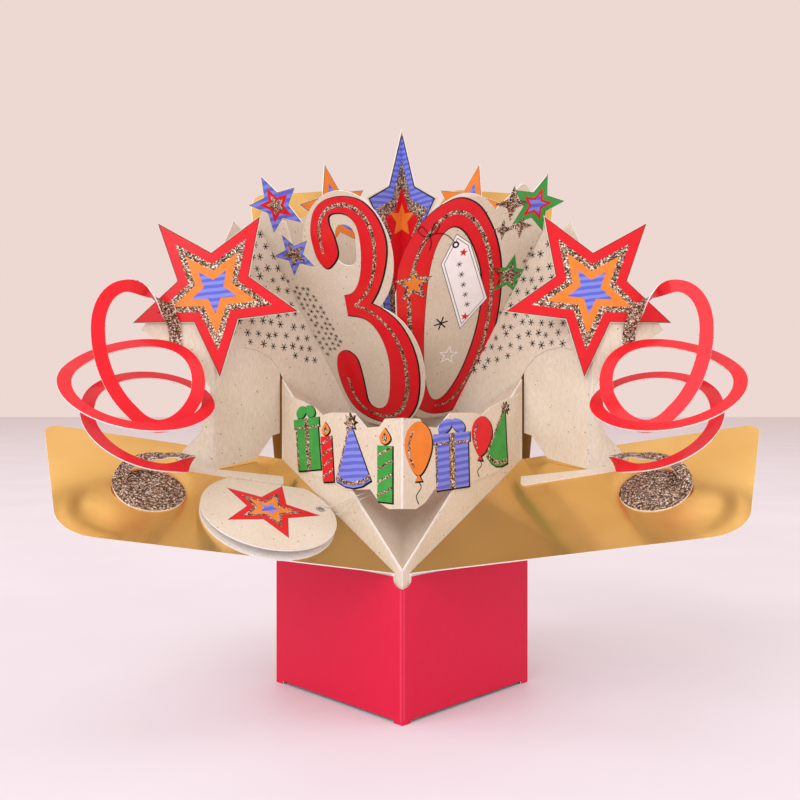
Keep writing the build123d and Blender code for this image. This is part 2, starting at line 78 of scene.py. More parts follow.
slope = math.sqrt(0.5)
UP = Vector((0, 0, 1))
TO_VIEWER = Vector((0, -1, 0))
sleeve_low, sleeve_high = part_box("sleeve")
axis = Vector(((sleeve_low.x + sleeve_high.x) / 2, (sleeve_low.y + sleeve_high.y) / 2, 0)) / MM


def ring(layer):
    """Half diagonal of the square on which the middle of a sheet in this layer stands."""
    return sleeve_side * slope - math.sqrt(2) * card * (layer + 0.5)


def place(spot):
    """A place of the drawing, in metres in the row's frame."""
    return (axis + spot) * MM


class Panel:
    """One flat side of a sheet: u runs along it, v across it, and lift stands off it."""

    def __init__(self, middle, along, across, towards):
        self.along = along.normalized()
        self.across = (across - self.along * across.dot(self.along)).normalized()
        self.out = self.along.cross(self.across)
        if self.out.dot(towards) < 0:
            self.out.negate()
        self.origin = middle + self.out * card / 2

    def spot(self, u, v, lift=0.0):
        """A place on the side or above it, in metres in the row's frame."""
        return place(self.origin + self.along * u + self.across * v + self.out * lift)


def sided(vector, side):
    """A left-hand vector, mirrored for the right-hand side."""
    return Vector((-side * vector.x, vector.y, vector.z))


def front_panel(side, layer):
    """Outer side of a front wall, where layer 0 is the sleeve: u runs from the front edge, v up."""
    return Panel(Vector((0, -ring(layer), 0)), Vector((side, 1, 0)), UP, Vector((side, -1, 0)))


def back_panel(side, layer):
    """Inner side of a back wall: u runs from the back edge, v up."""
    return Panel(Vector((0, ring(layer), 0)), Vector((side, -1, 0)), UP, TO_VIEWER)


prow_root = Vector((0, ring(3), screen_fold_height))
prow_along = (prow_top - prow_root).normalized()


def numeral_panel(side):
    """Printed side of a numeral panel: u runs out from the prow's edge, v up along it."""
    rim = Vector((side * numeral_reach * slope, ring(3) - numeral_reach * slope, numeral_top_height))
    out = rim - prow_root
    out -= prow_along * out.dot(prow_along)
    return Panel(prow_root, out, prow_along, TO_VIEWER)


# The left wing: its front corner, and the ways along it, across it and off it
crease_slope = math.atan(wing_crease_rise / sleeve_side)
fold = math.radians(wing_fold_angle)
wall_out = Vector((-slope, -slope, 0))
wall_along = Vector((-slope, slope, 0))
wing_along = (
    UP * (math.cos(fold) + math.sin(crease_slope) ** 2 * (1 - math.cos(fold)))
    + wall_out * math.cos(crease_slope) * math.sin(fold)
    + wall_along * math.sin(crease_slope) * math.cos(crease_slope) * (1 - math.cos(fold))
)
wing_across = (
    wall_along * (math.cos(fold) + math.cos(crease_slope) ** 2 * (1 - math.cos(fold)))
    - wall_out * math.sin(crease_slope) * math.sin(fold)
    + UP * math.sin(crease_slope) * math.cos(crease_slope) * (1 - math.cos(fold))
)
wing_normal = wing_along.cross(wing_across).normalized()
if wing_normal.z < 0:
    wing_normal.negate()
wing_root = Vector((0, -ring(1), sleeve_height - wing_drop))


def on_wing(along, across, above=0.0):
    """A place on the left wing, along and across it from its front corner."""
    return wing_root + wing_along * along + wing_across * across + wing_normal * above


screen_front = ring(2) - screen_end * slope
star_line = screen_front - card
star_middle = screen_end * slope


def star_panel(side):
    """Printed side of a big star: u runs towards the card's middle, v up."""
    middle = Vector((side * star_middle, star_line, star_height))
    return Panel(middle, Vector((-side, 0, 0)), UP, TO_VIEWER)


# The round tag: its upper leaf opens from a fold, and the leaves' heights are in card thicknesses
leaf_lift = 1.1
leaf_gap = 0.8
tag_middle = on_wing(*tag_place, card)
leaf_turn = math.radians(tag_opening)
leaf_down = -wing_across * math.cos(leaf_turn) + wing_normal * math.sin(leaf_turn)
leaf_origin = tag_middle + wing_across * tag_fold + wing_normal * card * leaf_lift
leaf_panel = Panel(leaf_origin, wing_along, -leaf_down, UP)
tag_between = tag_middle + wing_normal * card * leaf_gap


# Nodes and colours
def hex_colour(text):
    """Linear colour from an sRGB hex value."""
    parts = [int(text[i : i + 2], 16) / 255 for i in (1, 3, 5)]
    return tuple(p / 12.92 if p <= 0.04045 else ((p + 0.055) / 1.055) ** 2.4 for p in parts) + (1.0,)


def add(tree, kind, settings=None, inputs=None, stops=None):
    """Adds a node with its settings, its input values or links, and its ramp's stops."""
    node = tree.nodes.new(kind)
    for name, value in (settings or {}).items():
        setattr(node, name, value)
    for name, value in (inputs or {}).items():
        if isinstance(value, bpy.types.NodeSocket):
            tree.links.new(value, node.inputs[name])
        else:
            node.inputs[name].default_value = value
    for number, (position, colour) in enumerate(stops or []):
        elements = node.color_ramp.elements
        element = elements[number] if number < 2 else elements.new(position)
        element.position = position
        element.color = hex_colour(colour)
    return node


def finish_named(name, **values):
    """A new material, its tree and its shader with plain values set on the shader's own sockets."""
    made = bpy.data.materials.new(name)
    made.use_nodes = True
    shader = made.node_tree.nodes["Principled BSDF"]
    for key, value in values.items():
        shader.inputs[key.replace("_", " ")].default_value = value
    return made, made.node_tree, shader


def buff_board(name, pale, dark, speck):
    """Recycled buff board, calendered: matte, clouded, with fibres and dark specks."""
    cloud_size, fibre_size, speck_spacing = 22.0, 0.7, 3.4
    made, tree, shader = finish_named(name, Roughness=0.62, Specular_IOR_Level=0.35)
    spot = add(tree, "ShaderNodeTexCoord").outputs["Object"]
    cloud = add(
        tree,
        "ShaderNodeTexNoise",
        inputs={"Vector": spot, "Scale": 1 / (cloud_size * MM), "Detail": 3.0},
    )
    base = add(
        tree,
        "ShaderNodeValToRGB",
        inputs={"Fac": cloud.outputs["Fac"]},
        stops=[(0.3, dark), (0.72, pale)],
    )
    stretched = add(tree, "ShaderNodeMapping", inputs={"Vector": spot, "Scale": (1.0, 1.0, 0.35)})
    fibre = add(
        tree,
        "ShaderNodeTexNoise",
        inputs={
            "Vector": stretched.outputs[0],
            "Scale": 1 / (fibre_size * MM),
            "Detail": 4.0,
            "Roughness": 0.7,
        },
    )
    fibre_tone = add(
        tree,
        "ShaderNodeValToRGB",
        inputs={"Fac": fibre.outputs["Fac"]},
        stops=[(0.3, "#C9C2BA"), (0.7, "#FFFFFF")],
    )
    toned = add(
        tree,
        "ShaderNodeMix",
        {"data_type": "RGBA", "blend_type": "MULTIPLY"},
        {0: 0.45, 6: base.outputs["Color"], 7: fibre_tone.outputs["Color"]},
    )
    grit = add(tree, "ShaderNodeTexVoronoi", inputs={"Vector": spot, "Scale": 1 / (speck_spacing * MM)})
    dot = add(
        tree,
        "ShaderNodeValToRGB",
        inputs={"Fac": grit.outputs["Distance"]},
        stops=[(0.07, "#FFFFFF"), (0.1, "#000000")],
    )
    flecked = add(
        tree,
        "ShaderNodeMix",
        {"data_type": "RGBA"},
        {0: dot.outputs["Color"], 6: toned.outputs[2], 7: hex_colour(speck)},
    )
    bump = add(
        tree,
        "ShaderNodeBump",
        inputs={"Strength": 0.18, "Distance": 0.05 * MM, "Height": fibre.outputs["Fac"]},
    )
    tree.links.new(flecked.outputs[2], shader.inputs["Base Color"])
    tree.links.new(bump.outputs[0], shader.inputs["Normal"])
    return made


wave_run = 0.314  # metres between the bands of a wave pattern whose scale is 1


def printed(name, ink, shade, coat=0.35, band=0.0):
    """Offset ink under varnish: even, a little glossy, slightly mottled, or in soft stripes a band apart."""
    mottle_size, grain_size = 5.0, 1.2
    made, tree, shader = finish_named(
        name, Roughness=0.5, Specular_IOR_Level=0.12, Coat_Weight=coat, Coat_Roughness=0.14
    )
    spot = add(tree, "ShaderNodeTexCoord").outputs["Object"]
    if band:
        tilted = add(tree, "ShaderNodeMapping", inputs={"Vector": spot, "Rotation": (0.0, 0.12, 0.0)})
        pattern = add(
            tree,
            "ShaderNodeTexWave",
            {"bands_direction": "Z"},
            {
                "Vector": tilted.outputs[0],
                "Scale": wave_run / (band * MM),
                "Distortion": 1.2,
                "Detail": 1.0,
            },
        )
        stops = [(0.36, shade), (0.6, ink)]
    else:
        pattern = add(
            tree,
            "ShaderNodeTexNoise",
            inputs={"Vector": spot, "Scale": 1 / (mottle_size * MM), "Detail": 3.0},
        )
        stops = [(0.25, shade), (0.6, ink)]
    tone = add(tree, "ShaderNodeValToRGB", inputs={"Fac": pattern.outputs["Fac"]}, stops=stops)
    grain = add(
        tree,
        "ShaderNodeTexNoise",
        inputs={"Vector": spot, "Scale": 1 / (grain_size * MM), "Detail": 2.0},
    )
    bump = add(
        tree,
        "ShaderNodeBump",
        inputs={"Strength": 0.05, "Distance": 0.05 * MM, "Height": grain.outputs["Fac"]},
    )
    tree.links.new(tone.outputs["Color"], shader.inputs["Base Color"])
    tree.links.new(bump.outputs[0], shader.inputs["Normal"])
    return made


# Tones that glitter shows side by side, and how far up the range of chance each one starts
glitter_tones = [
    (0.0, "#2A1B12"),
    (0.2, "#6E4B33"),
    (0.4, "#A07C5E"),
    (0.6, "#CDB195"),
    (0.76, "#F4E9DA"),
    (0.9, "#4A3021"),
]


def glitter_bed():
    """Glue loaded with glitter: cells of tan, brown and cream metal, drawn coarse enough to show."""
    cell_size = 0.5
    made, tree, shader = finish_named("glitter_bed", Roughness=0.38, Metallic=0.55)
    spot = add(tree, "ShaderNodeTexCoord").outputs["Object"]
    cells = add(tree, "ShaderNodeTexVoronoi", inputs={"Vector": spot, "Scale": 1 / (cell_size * MM)})
    chance = add(tree, "ShaderNodeSeparateColor", inputs={0: cells.outputs["Color"]})
    tone = add(tree, "ShaderNodeValToRGB", inputs={"Fac": chance.outputs[0]}, stops=glitter_tones)
    tone.color_ramp.interpolation = "CONSTANT"
    bump = add(
        tree,
        "ShaderNodeBump",
        inputs={"Strength": 0.6, "Distance": 0.2 * MM, "Height": cells.outputs["Distance"]},
    )
    tree.links.new(tone.outputs["Color"], shader.inputs["Base Color"])
    tree.links.new(bump.outputs[0], shader.inputs["Normal"])
    return made


def glitter_metal():
    """Cut polyester glitter: bright flakes, each with a tone of its own."""
    made, tree, shader = finish_named("glitter_flake", Roughness=0.25, Metallic=0.8)
    shade = add(tree, "ShaderNodeAttribute", {"attribute_name": "shade"})
    tone = add(tree, "ShaderNodeValToRGB", inputs={"Fac": shade.outputs["Fac"]}, stops=glitter_tones)
    tone.color_ramp.interpolation = "CONSTANT"
    tree.links.new(tone.outputs["Color"], shader.inputs["Base Color"])
    return made


def gold_mirror():
    """Gold foil laminate on card: a mirror that the board under it makes a little wavy."""
    swell_size, haze_size = 38.0, 9.0
    made, tree, shader = finish_named("gold_foil", Metallic=0.8)
    spot = add(tree, "ShaderNodeTexCoord").outputs["Object"]
    swell = add(
        tree,
        "ShaderNodeTexNoise",
        inputs={"Vector": spot, "Scale": 1 / (swell_size * MM), "Detail": 1.0},
    )
    tone = add(
        tree,
        "ShaderNodeValToRGB",
        inputs={"Fac": swell.outputs["Fac"]},
        stops=[(0.3, "#E3B461"), (0.7, "#EBC070")],
    )
    haze = add(
        tree,
        "ShaderNodeTexNoise",
        inputs={"Vector": spot, "Scale": 1 / (haze_size * MM), "Detail": 4.0},
    )
    rough = add(
        tree,
        "ShaderNodeMapRange",
        inputs={
            "Value": haze.outputs["Fac"],
            "From Min": 0.3,
            "From Max": 0.7,
            "To Min": 0.19,
            "To Max": 0.27,
        },
    )
    bump = add(
        tree,
        "ShaderNodeBump",
        inputs={"Strength": 0.35, "Distance": 0.9 * MM, "Height": swell.outputs["Fac"]},
    )
    tree.links.new(tone.outputs["Color"], shader.inputs["Base Color"])
    tree.links.new(rough.outputs[0], shader.inputs["Roughness"])
    tree.links.new(bump.outputs[0], shader.inputs["Normal"])
    return made


buff = buff_board("buff_board", "#E3D8C4", "#DACCB4", "#8A7358")
buff_reverse = buff_board("buff_board_reverse", "#DACBB6", "#D0BEA7", "#8A7358")
white_core = buff_board("white_board_core", "#F6F3EF", "#EEEAE4", "#D8CFC4")
pink = printed("pink_varnished_board", "#D0153B", "#CD1439", 0.2)
# A lighter pink used as a painted highlight on the sleeve's rounded front fold
pink_fold_highlight = printed("pink_painted_fold_highlight", "#DA2E50", "#D8294C", 0.4)
red = printed("red_ink", "#D91522", "#D4121E", 0.4)
orange = printed("orange_ink", "#E88432", "#E17A28")
green = printed("green_ink", "#3E9E44", "#34913A")
blue = printed("striped_blue_ink", "#7D86DC", "#5B65C6", 0.3, 2.6)
black = printed("black_ink", "#151211", "#0F0C0C", 0.2)
white = printed("white_ink", "#F4F2F0", "#EEEBE7", 0.2)
gold = gold_mirror()
glitter = glitter_bed()
flake = glitter_metal()


# Outlines
def star(middle, radius, turn, share=star_share, arms=5):
    """A star with its first tip at the turn in degrees; share is the inner radius over the outer."""
    corners = []
    for step in range(2 * arms):
        reach = radius if step % 2 == 0 else radius * share
        angle = math.radians(turn) + math.pi * step / arms
        corners.append((middle[0] + reach * math.cos(angle), middle[1] + reach * math.sin(angle)))
    return corners


def oval(middle, half_u, half_v, turn=0.0, count=40):
    """An oval by its half lengths, turned by a number of degrees."""
    corners = []
    c, s = math.cos(math.radians(turn)), math.sin(math.radians(turn))
    for step in range(count):
        angle = 2 * math.pi * step / count
        u, v = half_u * math.cos(angle), half_v * math.sin(angle)
        corners.append((middle[0] + u * c - v * s, middle[1] + u * s + v * c))
    return corners


def curve_point(before, first, second, after, t):
    """Point on a smooth line between the first and second of four points."""
    made = []
    for p, a, b, n in zip(before, first, second, after):
        bend, swing = 2 * p - 5 * a + 4 * b - n, 3 * a - p - 3 * b + n
        made.append(0.5 * (2 * a + (b - p) * t + bend * t**2 + swing * t**3))
    return tuple(made)


def smooth(points, closed=True, corners=(), parts=5):
    """Smooth line through the points that stays sharp at the numbered corners."""
    made, count = [], len(points)
    for i in range(count if closed else count - 1):
        first, second = points[i], points[(i + 1) % count]
        before = first if i in corners or (not closed and i == 0) else points[i - 1]
        last = (i + 1) % count
        after = second if last in corners or (not closed and last == count - 1) else points[(i + 2) % count]
        made += [curve_point(before, first, second, after, step / parts) for step in range(parts)]
    return made if closed else made + [points[-1]]


def area(outline):
    """Signed area, positive when the outline turns to the left."""
    return 0.5 * sum(a[0] * b[1] - b[0] * a[1] for a, b in zip(outline, outline[1:] + outline[:1]))


def grown(outline, distance, shift=(0.0, 0.0)):
    """The outline moved outwards by a small distance, and shifted; tip_limit holds sharp tips back."""
    tip_limit = 0.7
    turn = 1 if area(outline) > 0 else -1
    made = []
    for i, here in enumerate(outline):
        before, after = outline[i - 1], outline[(i + 1) % len(outline)]
        normals = []
        for a, b in ((before, here), (here, after)):
            run = math.hypot(b[0] - a[0], b[1] - a[1]) or 1.0
            normals.append((turn * (b[1] - a[1]) / run, -turn * (b[0] - a[0]) / run))
        nu, nv = normals[0][0] + normals[1][0], normals[0][1] + normals[1][1]
        size = max(nu * nu + nv * nv, tip_limit)
        made.append(
            (here[0] + 2 * distance * nu / size + shift[0], here[1] + 2 * distance * nv / size + shift[1])
        )
    return made


def inside(outline, spot):
    """Whether a spot lies inside an outline."""
    found = False
    for a, b in zip(outline, outline[1:] + outline[:1]):
        if (a[1] > spot[1]) != (b[1] > spot[1]):
            if spot[0] < a[0] + (spot[1] - a[1]) * (b[0] - a[0]) / (b[1] - a[1]):
                found = not found
    return found


# Pieces
def settle(piece):
    """Lets a piece ride on the card."""
    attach(piece, "root")
    return piece


def new_piece(name, mesh):
    piece = bpy.data.objects.new(name, mesh)
    bpy.context.scene.collection.objects.link(piece)
    return piece


def face_outwards(mesh):
    """Turns the faces of closed shells outwards."""
    body = bmesh.new()
    body.from_mesh(mesh)
    bmesh.ops.recalc_face_normals(body, faces=body.faces)
    body.to_mesh(mesh)
    body.free()


class Print:
    """Thin layers of ink on panels, gathered into one piece; glitter is kept for its flakes."""

    step = 0.03  # height of one layer of ink

    def __init__(self):
        self.corners, self.faces, self.inks, self.used = [], [], [], []
        self.beds = []

    def ink_number(self, ink):
        """The ink's place among the piece's finishes."""
        if ink not in self.used:
            self.used.append(ink)
        return self.used.index(ink)

    def slab(self, panel, loops, triangles, ink, level):
        """A closed slab of ink from the card up to its level, with a wall round each loop."""
        flat = [corner for loop in loops for corner in loop]
        start, count = len(self.corners), len(flat)
        top = self.step * (level + 1)
        self.corners += [panel.spot(u, v, top) for u, v in flat]
        self.corners += [panel.spot(u, v, 0.0) for u, v in flat]
        made = [[start + k for k in face] for face in triangles]
        if ink is glitter:
            self.beds += [[self.corners[k] for k in face] for face in made]
        made += [[start + count + k for k in reversed(face)] for face in triangles]
        offset = 0
        for loop in loops:
            for k in range(len(loop)):
                a, b = start + offset + k, start + offset + (k + 1) % len(loop)
                made.append([a, a + count, b + count, b])
            offset += len(loop)
        self.faces += made
        self.inks += [self.ink_number(ink)] * len(made)

    def field(self, panel, outline, ink, level, holes=()):
        """A field of ink inside an outline."""
        loops = [outline, *holes]
        triangles = tessellate_polygon([[Vector((u, v, 0)) for u, v in loop] for loop in loops])
        self.slab(panel, loops, triangles, ink, level)

    def stroke(self, panel, line, width, ink, level):
        """A line of ink whose width is one value, or one for the start, middle and end."""
        widths = width if isinstance(width, tuple) else (width,) * 3
        left, right, count = [], [], len(line)
        for i, here in enumerate(line):
            a, b = line[max(i - 1, 0)], line[min(i + 1, count - 1)]
            run = math.hypot(b[0] - a[0], b[1] - a[1]) or 1.0
            share = i / max(count - 1, 1)
            first, second, t = widths[0], widths[1], 2 * share
            if share >= 0.5:
                first, second, t = widths[1], widths[2], 2 * share - 1
            half = (first + (second - first) * min(1.0, t)) / 2
            nu, nv = -(b[1] - a[1]) / run * half, (b[0] - a[0]) / run * half
            left.append((here[0] + nu, here[1] + nv))
            right.append((here[0] - nu, here[1] - nv))
        quads = []
        for i in range(count - 1):
            quads += [[i, i + 1, 2 * count - 2 - i], [i, 2 * count - 2 - i, 2 * count - 1 - i]]
        self.slab(panel, [left + right[::-1]], quads, ink, level)

    def piece(self, name, slot):
        mesh = bpy.data.meshes.new(name)
        mesh.from_pydata(self.corners, [], self.faces)
        for ink in self.used:
            mesh.materials.append(ink)
        mesh.polygons.foreach_set("material_index", self.inks)
        face_outwards(mesh)
        settle(new_piece(name, mesh))


def grown_from(piece, tree, values):
    """Runs a node tree on a piece with the named input values, and keeps the result as its mesh."""
    modifier = piece.modifiers.new(tree.name, "NODES")
    modifier.node_group = tree
    for item in tree.interface.items_tree:
        if item.in_out == "INPUT" and item.name in values:
            modifier[item.identifier] = values[item.name]
    evaluated = piece.evaluated_get(bpy.context.evaluated_depsgraph_get())
    made = bpy.data.meshes.new_from_object(evaluated)
    piece.modifiers.remove(modifier)
    piece.data = made
    return piece


def new_tree(name, inputs):
    """A geometry tree with its inputs, its input node and its output node."""
    tree = bpy.data.node_groups.new(name, "GeometryNodeTree")
    tree.interface.new_socket("Geometry", in_out="INPUT", socket_type="NodeSocketGeometry")
    for label, kind in inputs:
        tree.interface.new_socket(label, in_out="INPUT", socket_type=kind)
    tree.interface.new_socket("Geometry", in_out="OUTPUT", socket_type="NodeSocketGeometry")
    return tree, add(tree, "NodeGroupInput").outputs


def asterisk_tree():
    """Asterisks of crossed bars at the points, turned and sized by the points' own values."""
    bars = 3
    tree, given = new_tree(
        "asterisks",
        [
            ("Arm length", "NodeSocketFloat"),
            ("Arm width", "NodeSocketFloat"),
            ("Ink height", "NodeSocketFloat"),
            ("Ink", "NodeSocketMaterial"),
        ],
    )
    size = add(
        tree,
        "ShaderNodeCombineXYZ",
        inputs={0: given["Arm length"], 1: given["Arm width"], 2: given["Ink height"]},
    )
    bar = add(tree, "GeometryNodeMeshCube", inputs={"Size": size.outputs[0]})
    joined = add(tree, "GeometryNodeJoinGeometry")
    for step in range(bars):
        arm = add(
            tree,
            "GeometryNodeTransform",
            inputs={"Geometry": bar.outputs["Mesh"], "Rotation": (0.0, 0.0, step * math.pi / bars)},
        )
        tree.links.new(arm.outputs[0], joined.inputs[0])
    turn = add(tree, "GeometryNodeInputNamedAttribute", {"data_type": "FLOAT_VECTOR"}, {"Name": "turn"})
    scale = add(tree, "GeometryNodeInputNamedAttribute", {"data_type": "FLOAT"}, {"Name": "size"})
    copies = add(
        tree,
        "GeometryNodeInstanceOnPoints",
        inputs={
            "Points": given["Geometry"],
            "Instance": joined.outputs[0],
            "Rotation": turn.outputs[0],
            "Scale": scale.outputs[0],
        },
    )
    real = add(tree, "GeometryNodeRealizeInstances", inputs={"Geometry": copies.outputs[0]})
    inked = add(
        tree,
        "GeometryNodeSetMaterial",
        inputs={"Geometry": real.outputs[0], "Material": given["Ink"]},
    )
    add(tree, "NodeGroupOutput", inputs={"Geometry": inked.outputs[0]})
    return tree


def flake_tree():
    """Glitter flakes strewn over a bed: small low cones, tilted, sized and toned at random."""
    flake_sides, flake_height, flake_tilt, flake_turn = 5, 0.45, 0.55, 6.28
    smallest, largest = 0.6, 1.3
    tilt_seed, size_seed, tone_seed = 3, 5, 7
    tree, given = new_tree(
        "glitter_flakes",
        [
            ("Flakes per square metre", "NodeSocketFloat"),
            ("Flake radius", "NodeSocketFloat"),
            ("Seed", "NodeSocketInt"),
            ("Flake", "NodeSocketMaterial"),
        ],
    )
    strewn = add(
        tree,
        "GeometryNodeDistributePointsOnFaces",
        inputs={
            "Mesh": given["Geometry"],
            "Density": given["Flakes per square metre"],
            "Seed": given["Seed"],
        },
    )
    low = add(
        tree,
        "ShaderNodeMath",
        {"operation": "MULTIPLY"},
        {0: given["Flake radius"], 1: flake_height},
    )
    cone = add(
        tree,
        "GeometryNodeMeshCone",
        inputs={
            "Vertices": flake_sides,
            "Radius Bottom": given["Flake radius"],
            "Radius Top": 0.0,
            "Depth": low.outputs[0],
        },
    )
    copies = add(
        tree,
        "GeometryNodeInstanceOnPoints",
        inputs={
            "Points": strewn.outputs["Points"],
            "Instance": cone.outputs["Mesh"],
            "Rotation": strewn.outputs["Rotation"],
        },
    )
    tilt = add(
        tree,
        "FunctionNodeRandomValue",
        {"data_type": "FLOAT_VECTOR"},
        {
            0: (-flake_tilt, -flake_tilt, 0.0),
            1: (flake_tilt, flake_tilt, flake_turn),
            "Seed": tilt_seed,
        },
    )
    turned = add(
        tree,
        "GeometryNodeRotateInstances",
        inputs={"Instances": copies.outputs[0], "Rotation": tilt.outputs[0]},
    )
    spread = add(
        tree,
        "FunctionNodeRandomValue",
        {"data_type": "FLOAT"},
        {2: smallest, 3: largest, "Seed": size_seed},
    )
    sized = add(
        tree,
        "GeometryNodeScaleInstances",
        inputs={"Instances": turned.outputs[0], "Scale": spread.outputs[1]},
    )
    tone = add(
        tree,
        "FunctionNodeRandomValue",
        {"data_type": "FLOAT"},
        {2: 0.0, 3: 1.0, "Seed": tone_seed},
    )
    toned = add(
        tree,
        "GeometryNodeStoreNamedAttribute",
        {"data_type": "FLOAT", "domain": "INSTANCE"},
        {"Geometry": sized.outputs[0], "Name": "shade", "Value": tone.outputs[1]},
    )
    real = add(tree, "GeometryNodeRealizeInstances", inputs={"Geometry": toned.outputs[0]})
    done = add(
        tree,
        "GeometryNodeSetMaterial",
        inputs={"Geometry": real.outputs[0], "Material": given["Flake"]},
    )
    add(tree, "NodeGroupOutput", inputs={"Geometry": done.outputs[0]})
    return tree


asterisks = asterisk_tree()
flakes = flake_tree()
flake_radius = 0.22
print_flakes = 4.0  # flakes per square mm of printed glitter
ribbon_flakes = 3.0  # flakes per square mm of a streamer
star_seed, numeral_seed, banner_seed, ribbon_seed = 11, 23, 37, 41


def strew(name, faces, per_square_mm, seed):
    """Glitter flakes over faces given by their corners."""
    mesh = bpy.data.meshes.new(name)
    corners = [corner for face in faces for corner in face]
    sides, start = [], 0
    for face in faces:
        sides.append(list(range(start, start + len(face))))
        start += len(face)
    mesh.from_pydata(corners, [], sides)
    values = {
        "Flakes per square metre": per_square_mm / MM**2,
        "Flake radius": flake_radius * MM,
        "Seed": seed,
        "Flake": flake,
    }
    settle(grown_from(new_piece(name, mesh), flakes, values))


class Marks:
    """Points for the asterisks, with the way each lies and its size."""

    def __init__(self):
        self.spots, self.turns, self.sizes = [], [], []

    def mark(self, panel, u, v, size, turn, lift=0.02):
        """One mark on a panel, as large as its size in mm and turned by a number of radians."""
        across = panel.out.cross(panel.along)
        ahead = (panel.along * math.cos(turn) + across * math.sin(turn)).normalized()
        aside = panel.out.cross(ahead)
        rows = [(ahead[i], aside[i], panel.out[i]) for i in range(3)]
        self.spots.append(panel.spot(u, v, lift))
        self.turns.append(Matrix(rows).to_euler())
        self.sizes.append(size)

    def fill(self, panel, outline, spacing, size, draw):
        """Staggered rows of marks inside an outline, each moved, sized and turned a little by chance."""
        row_share, shift, tilt, smallest, largest = 0.87, 0.2, 0.3, 0.85, 1.1
        low_u, high_u = min(p[0] for p in outline), max(p[0] for p in outline)
        low_v, high_v = min(p[1] for p in outline), max(p[1] for p in outline)
        row, v = 0, low_v + spacing / 2
        while v < high_v:
            u = low_u + spacing * (0.25 + 0.5 * (row % 2))
            while u < high_u:
                spot = (u + draw.uniform(-shift, shift) * spacing, v + draw.uniform(-shift, shift) * spacing)
                if inside(outline, spot):
                    own_size = size * draw.uniform(smallest, largest)
                    self.mark(panel, *spot, own_size, draw.uniform(-tilt, tilt))
                u += spacing
            v += spacing * row_share
            row += 1

    def piece(self, name, slot):
        mesh = bpy.data.meshes.new(name)
        mesh.from_pydata(self.spots, [], [])
        turn = mesh.attributes.new("turn", "FLOAT_VECTOR", "POINT")
        turn.data.foreach_set("vector", [value for euler in self.turns for value in euler])
        size = mesh.attributes.new("size", "FLOAT", "POINT")
        size.data.foreach_set("value", self.sizes)
        values = {"Arm length": 1.0 * MM, "Arm width": 0.1 * MM, "Ink height": 0.05 * MM, "Ink": black}
        settle(grown_from(new_piece(name, mesh), asterisks, values))


# Card sheets: merged copies of the solids, with printed sides, reverse sides and white cut edges
weld_distance = 0.002
probe_depth = 0.01
sheet_depth = 1.3  # a side of a sheet has its other side within this many card thicknesses
sheet_sharp_angle = 20
FRONT, REVERSE, CUT = 0, 1, 2


def dress(node, front, reverse, faces_front):
    """Stands for one sheet of the solids; faces_front tells a printed side by its normal and its middle."""
    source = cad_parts[node]
    body = bmesh.new()
    body.from_mesh(source.data)
    bmesh.ops.remove_doubles(body, verts=body.verts, dist=weld_distance * MM)
    body.normal_update()
    depth_of = BVHTree.FromBMesh(body)
    for face in body.faces:
        middle = face.calc_center_median()
        depth = depth_of.ray_cast(middle - face.normal * probe_depth * MM, -face.normal)[3]
        if depth is None or depth > sheet_depth * card * MM:
            face.material_index = CUT
        else:
            spot = middle / MM - axis
            face.material_index = FRONT if faces_front(face.normal, spot) else REVERSE
    mesh = bpy.data.meshes.new(node + "_sheet")
    body.to_mesh(mesh)
    body.free()
    for finish in (front, reverse, white_core):
        mesh.materials.append(finish)
    mesh.polygons.foreach_set("use_smooth", [True] * len(mesh.polygons))
    mesh.set_sharp_from_angle(angle=math.radians(sheet_sharp_angle))
    piece = settle(new_piece(node + "_sheet", mesh))
    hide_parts(node)


def to_viewer(normal, spot):
    """Sides that face the viewer."""
    return normal.y < 0


def outwards(normal, spot):
    """Sides that face away from the card's upright axis."""
    return normal.x * spot.x + normal.y * spot.y > 0


def foil_side(normal, spot):
    """The upper side of a wing, and the inner side of the wall below it."""
    return normal.z > 0.5 or (abs(normal.z) < 0.1 and not outwards(normal, spot))


def tag_outside(normal, spot):
    """Sides of the tag's leaves that face away from the gap between them."""
    return (spot - tag_between).dot(normal) > 0


dress("sleeve", pink, white_core, outwards)
for side in ("left", "right"):
    dress("foil_" + side, gold, white_core, foil_side)
    dress("foil_back_" + side, gold, white_core, to_viewer)
    dress("star_" + side, buff, buff_reverse, to_viewer)
    dress("leg_" + side, buff, buff_reverse, to_viewer)
dress("cup", buff, buff_reverse, outwards)
dress("screen", buff, buff_reverse, to_viewer)
dress("three_panel", buff, buff_reverse, to_viewer)
dress("zero_panel", buff, buff_reverse, to_viewer)
dress("centre_star", buff, buff_reverse, to_viewer)
dress("banner", buff, buff_reverse, to_viewer)
dress("banner_strut", buff, buff_reverse, to_viewer)
dress("gift_tag", buff, white_core, tag_outside)

# Star prints
star_print = Print()


def nested_star(panel, middle, radius, turn, layers, share=star_share, line=0.22):
    """A star print: a black line at the card's edge, then layers given as ink and share of the radius."""
    notch_turn = math.radians(36)
    notch_u, notch_v = share * math.cos(notch_turn), share * math.sin(notch_turn)
    height = radius * notch_v / math.hypot(1 - notch_u, notch_v)
    outer = radius * (1 - line / height)
    star_print.field(panel, star(middle, outer, turn, share), black, 0)
    for level, (ink, part) in enumerate(layers):
        outline = star(middle, radius * part, turn, share)
        holes = []
        if ink is glitter and level + 1 < len(layers):
            holes = [star(middle, radius * layers[level + 1][1], turn, share)]
        star_print.field(panel, outline, ink, 1 + level, holes)


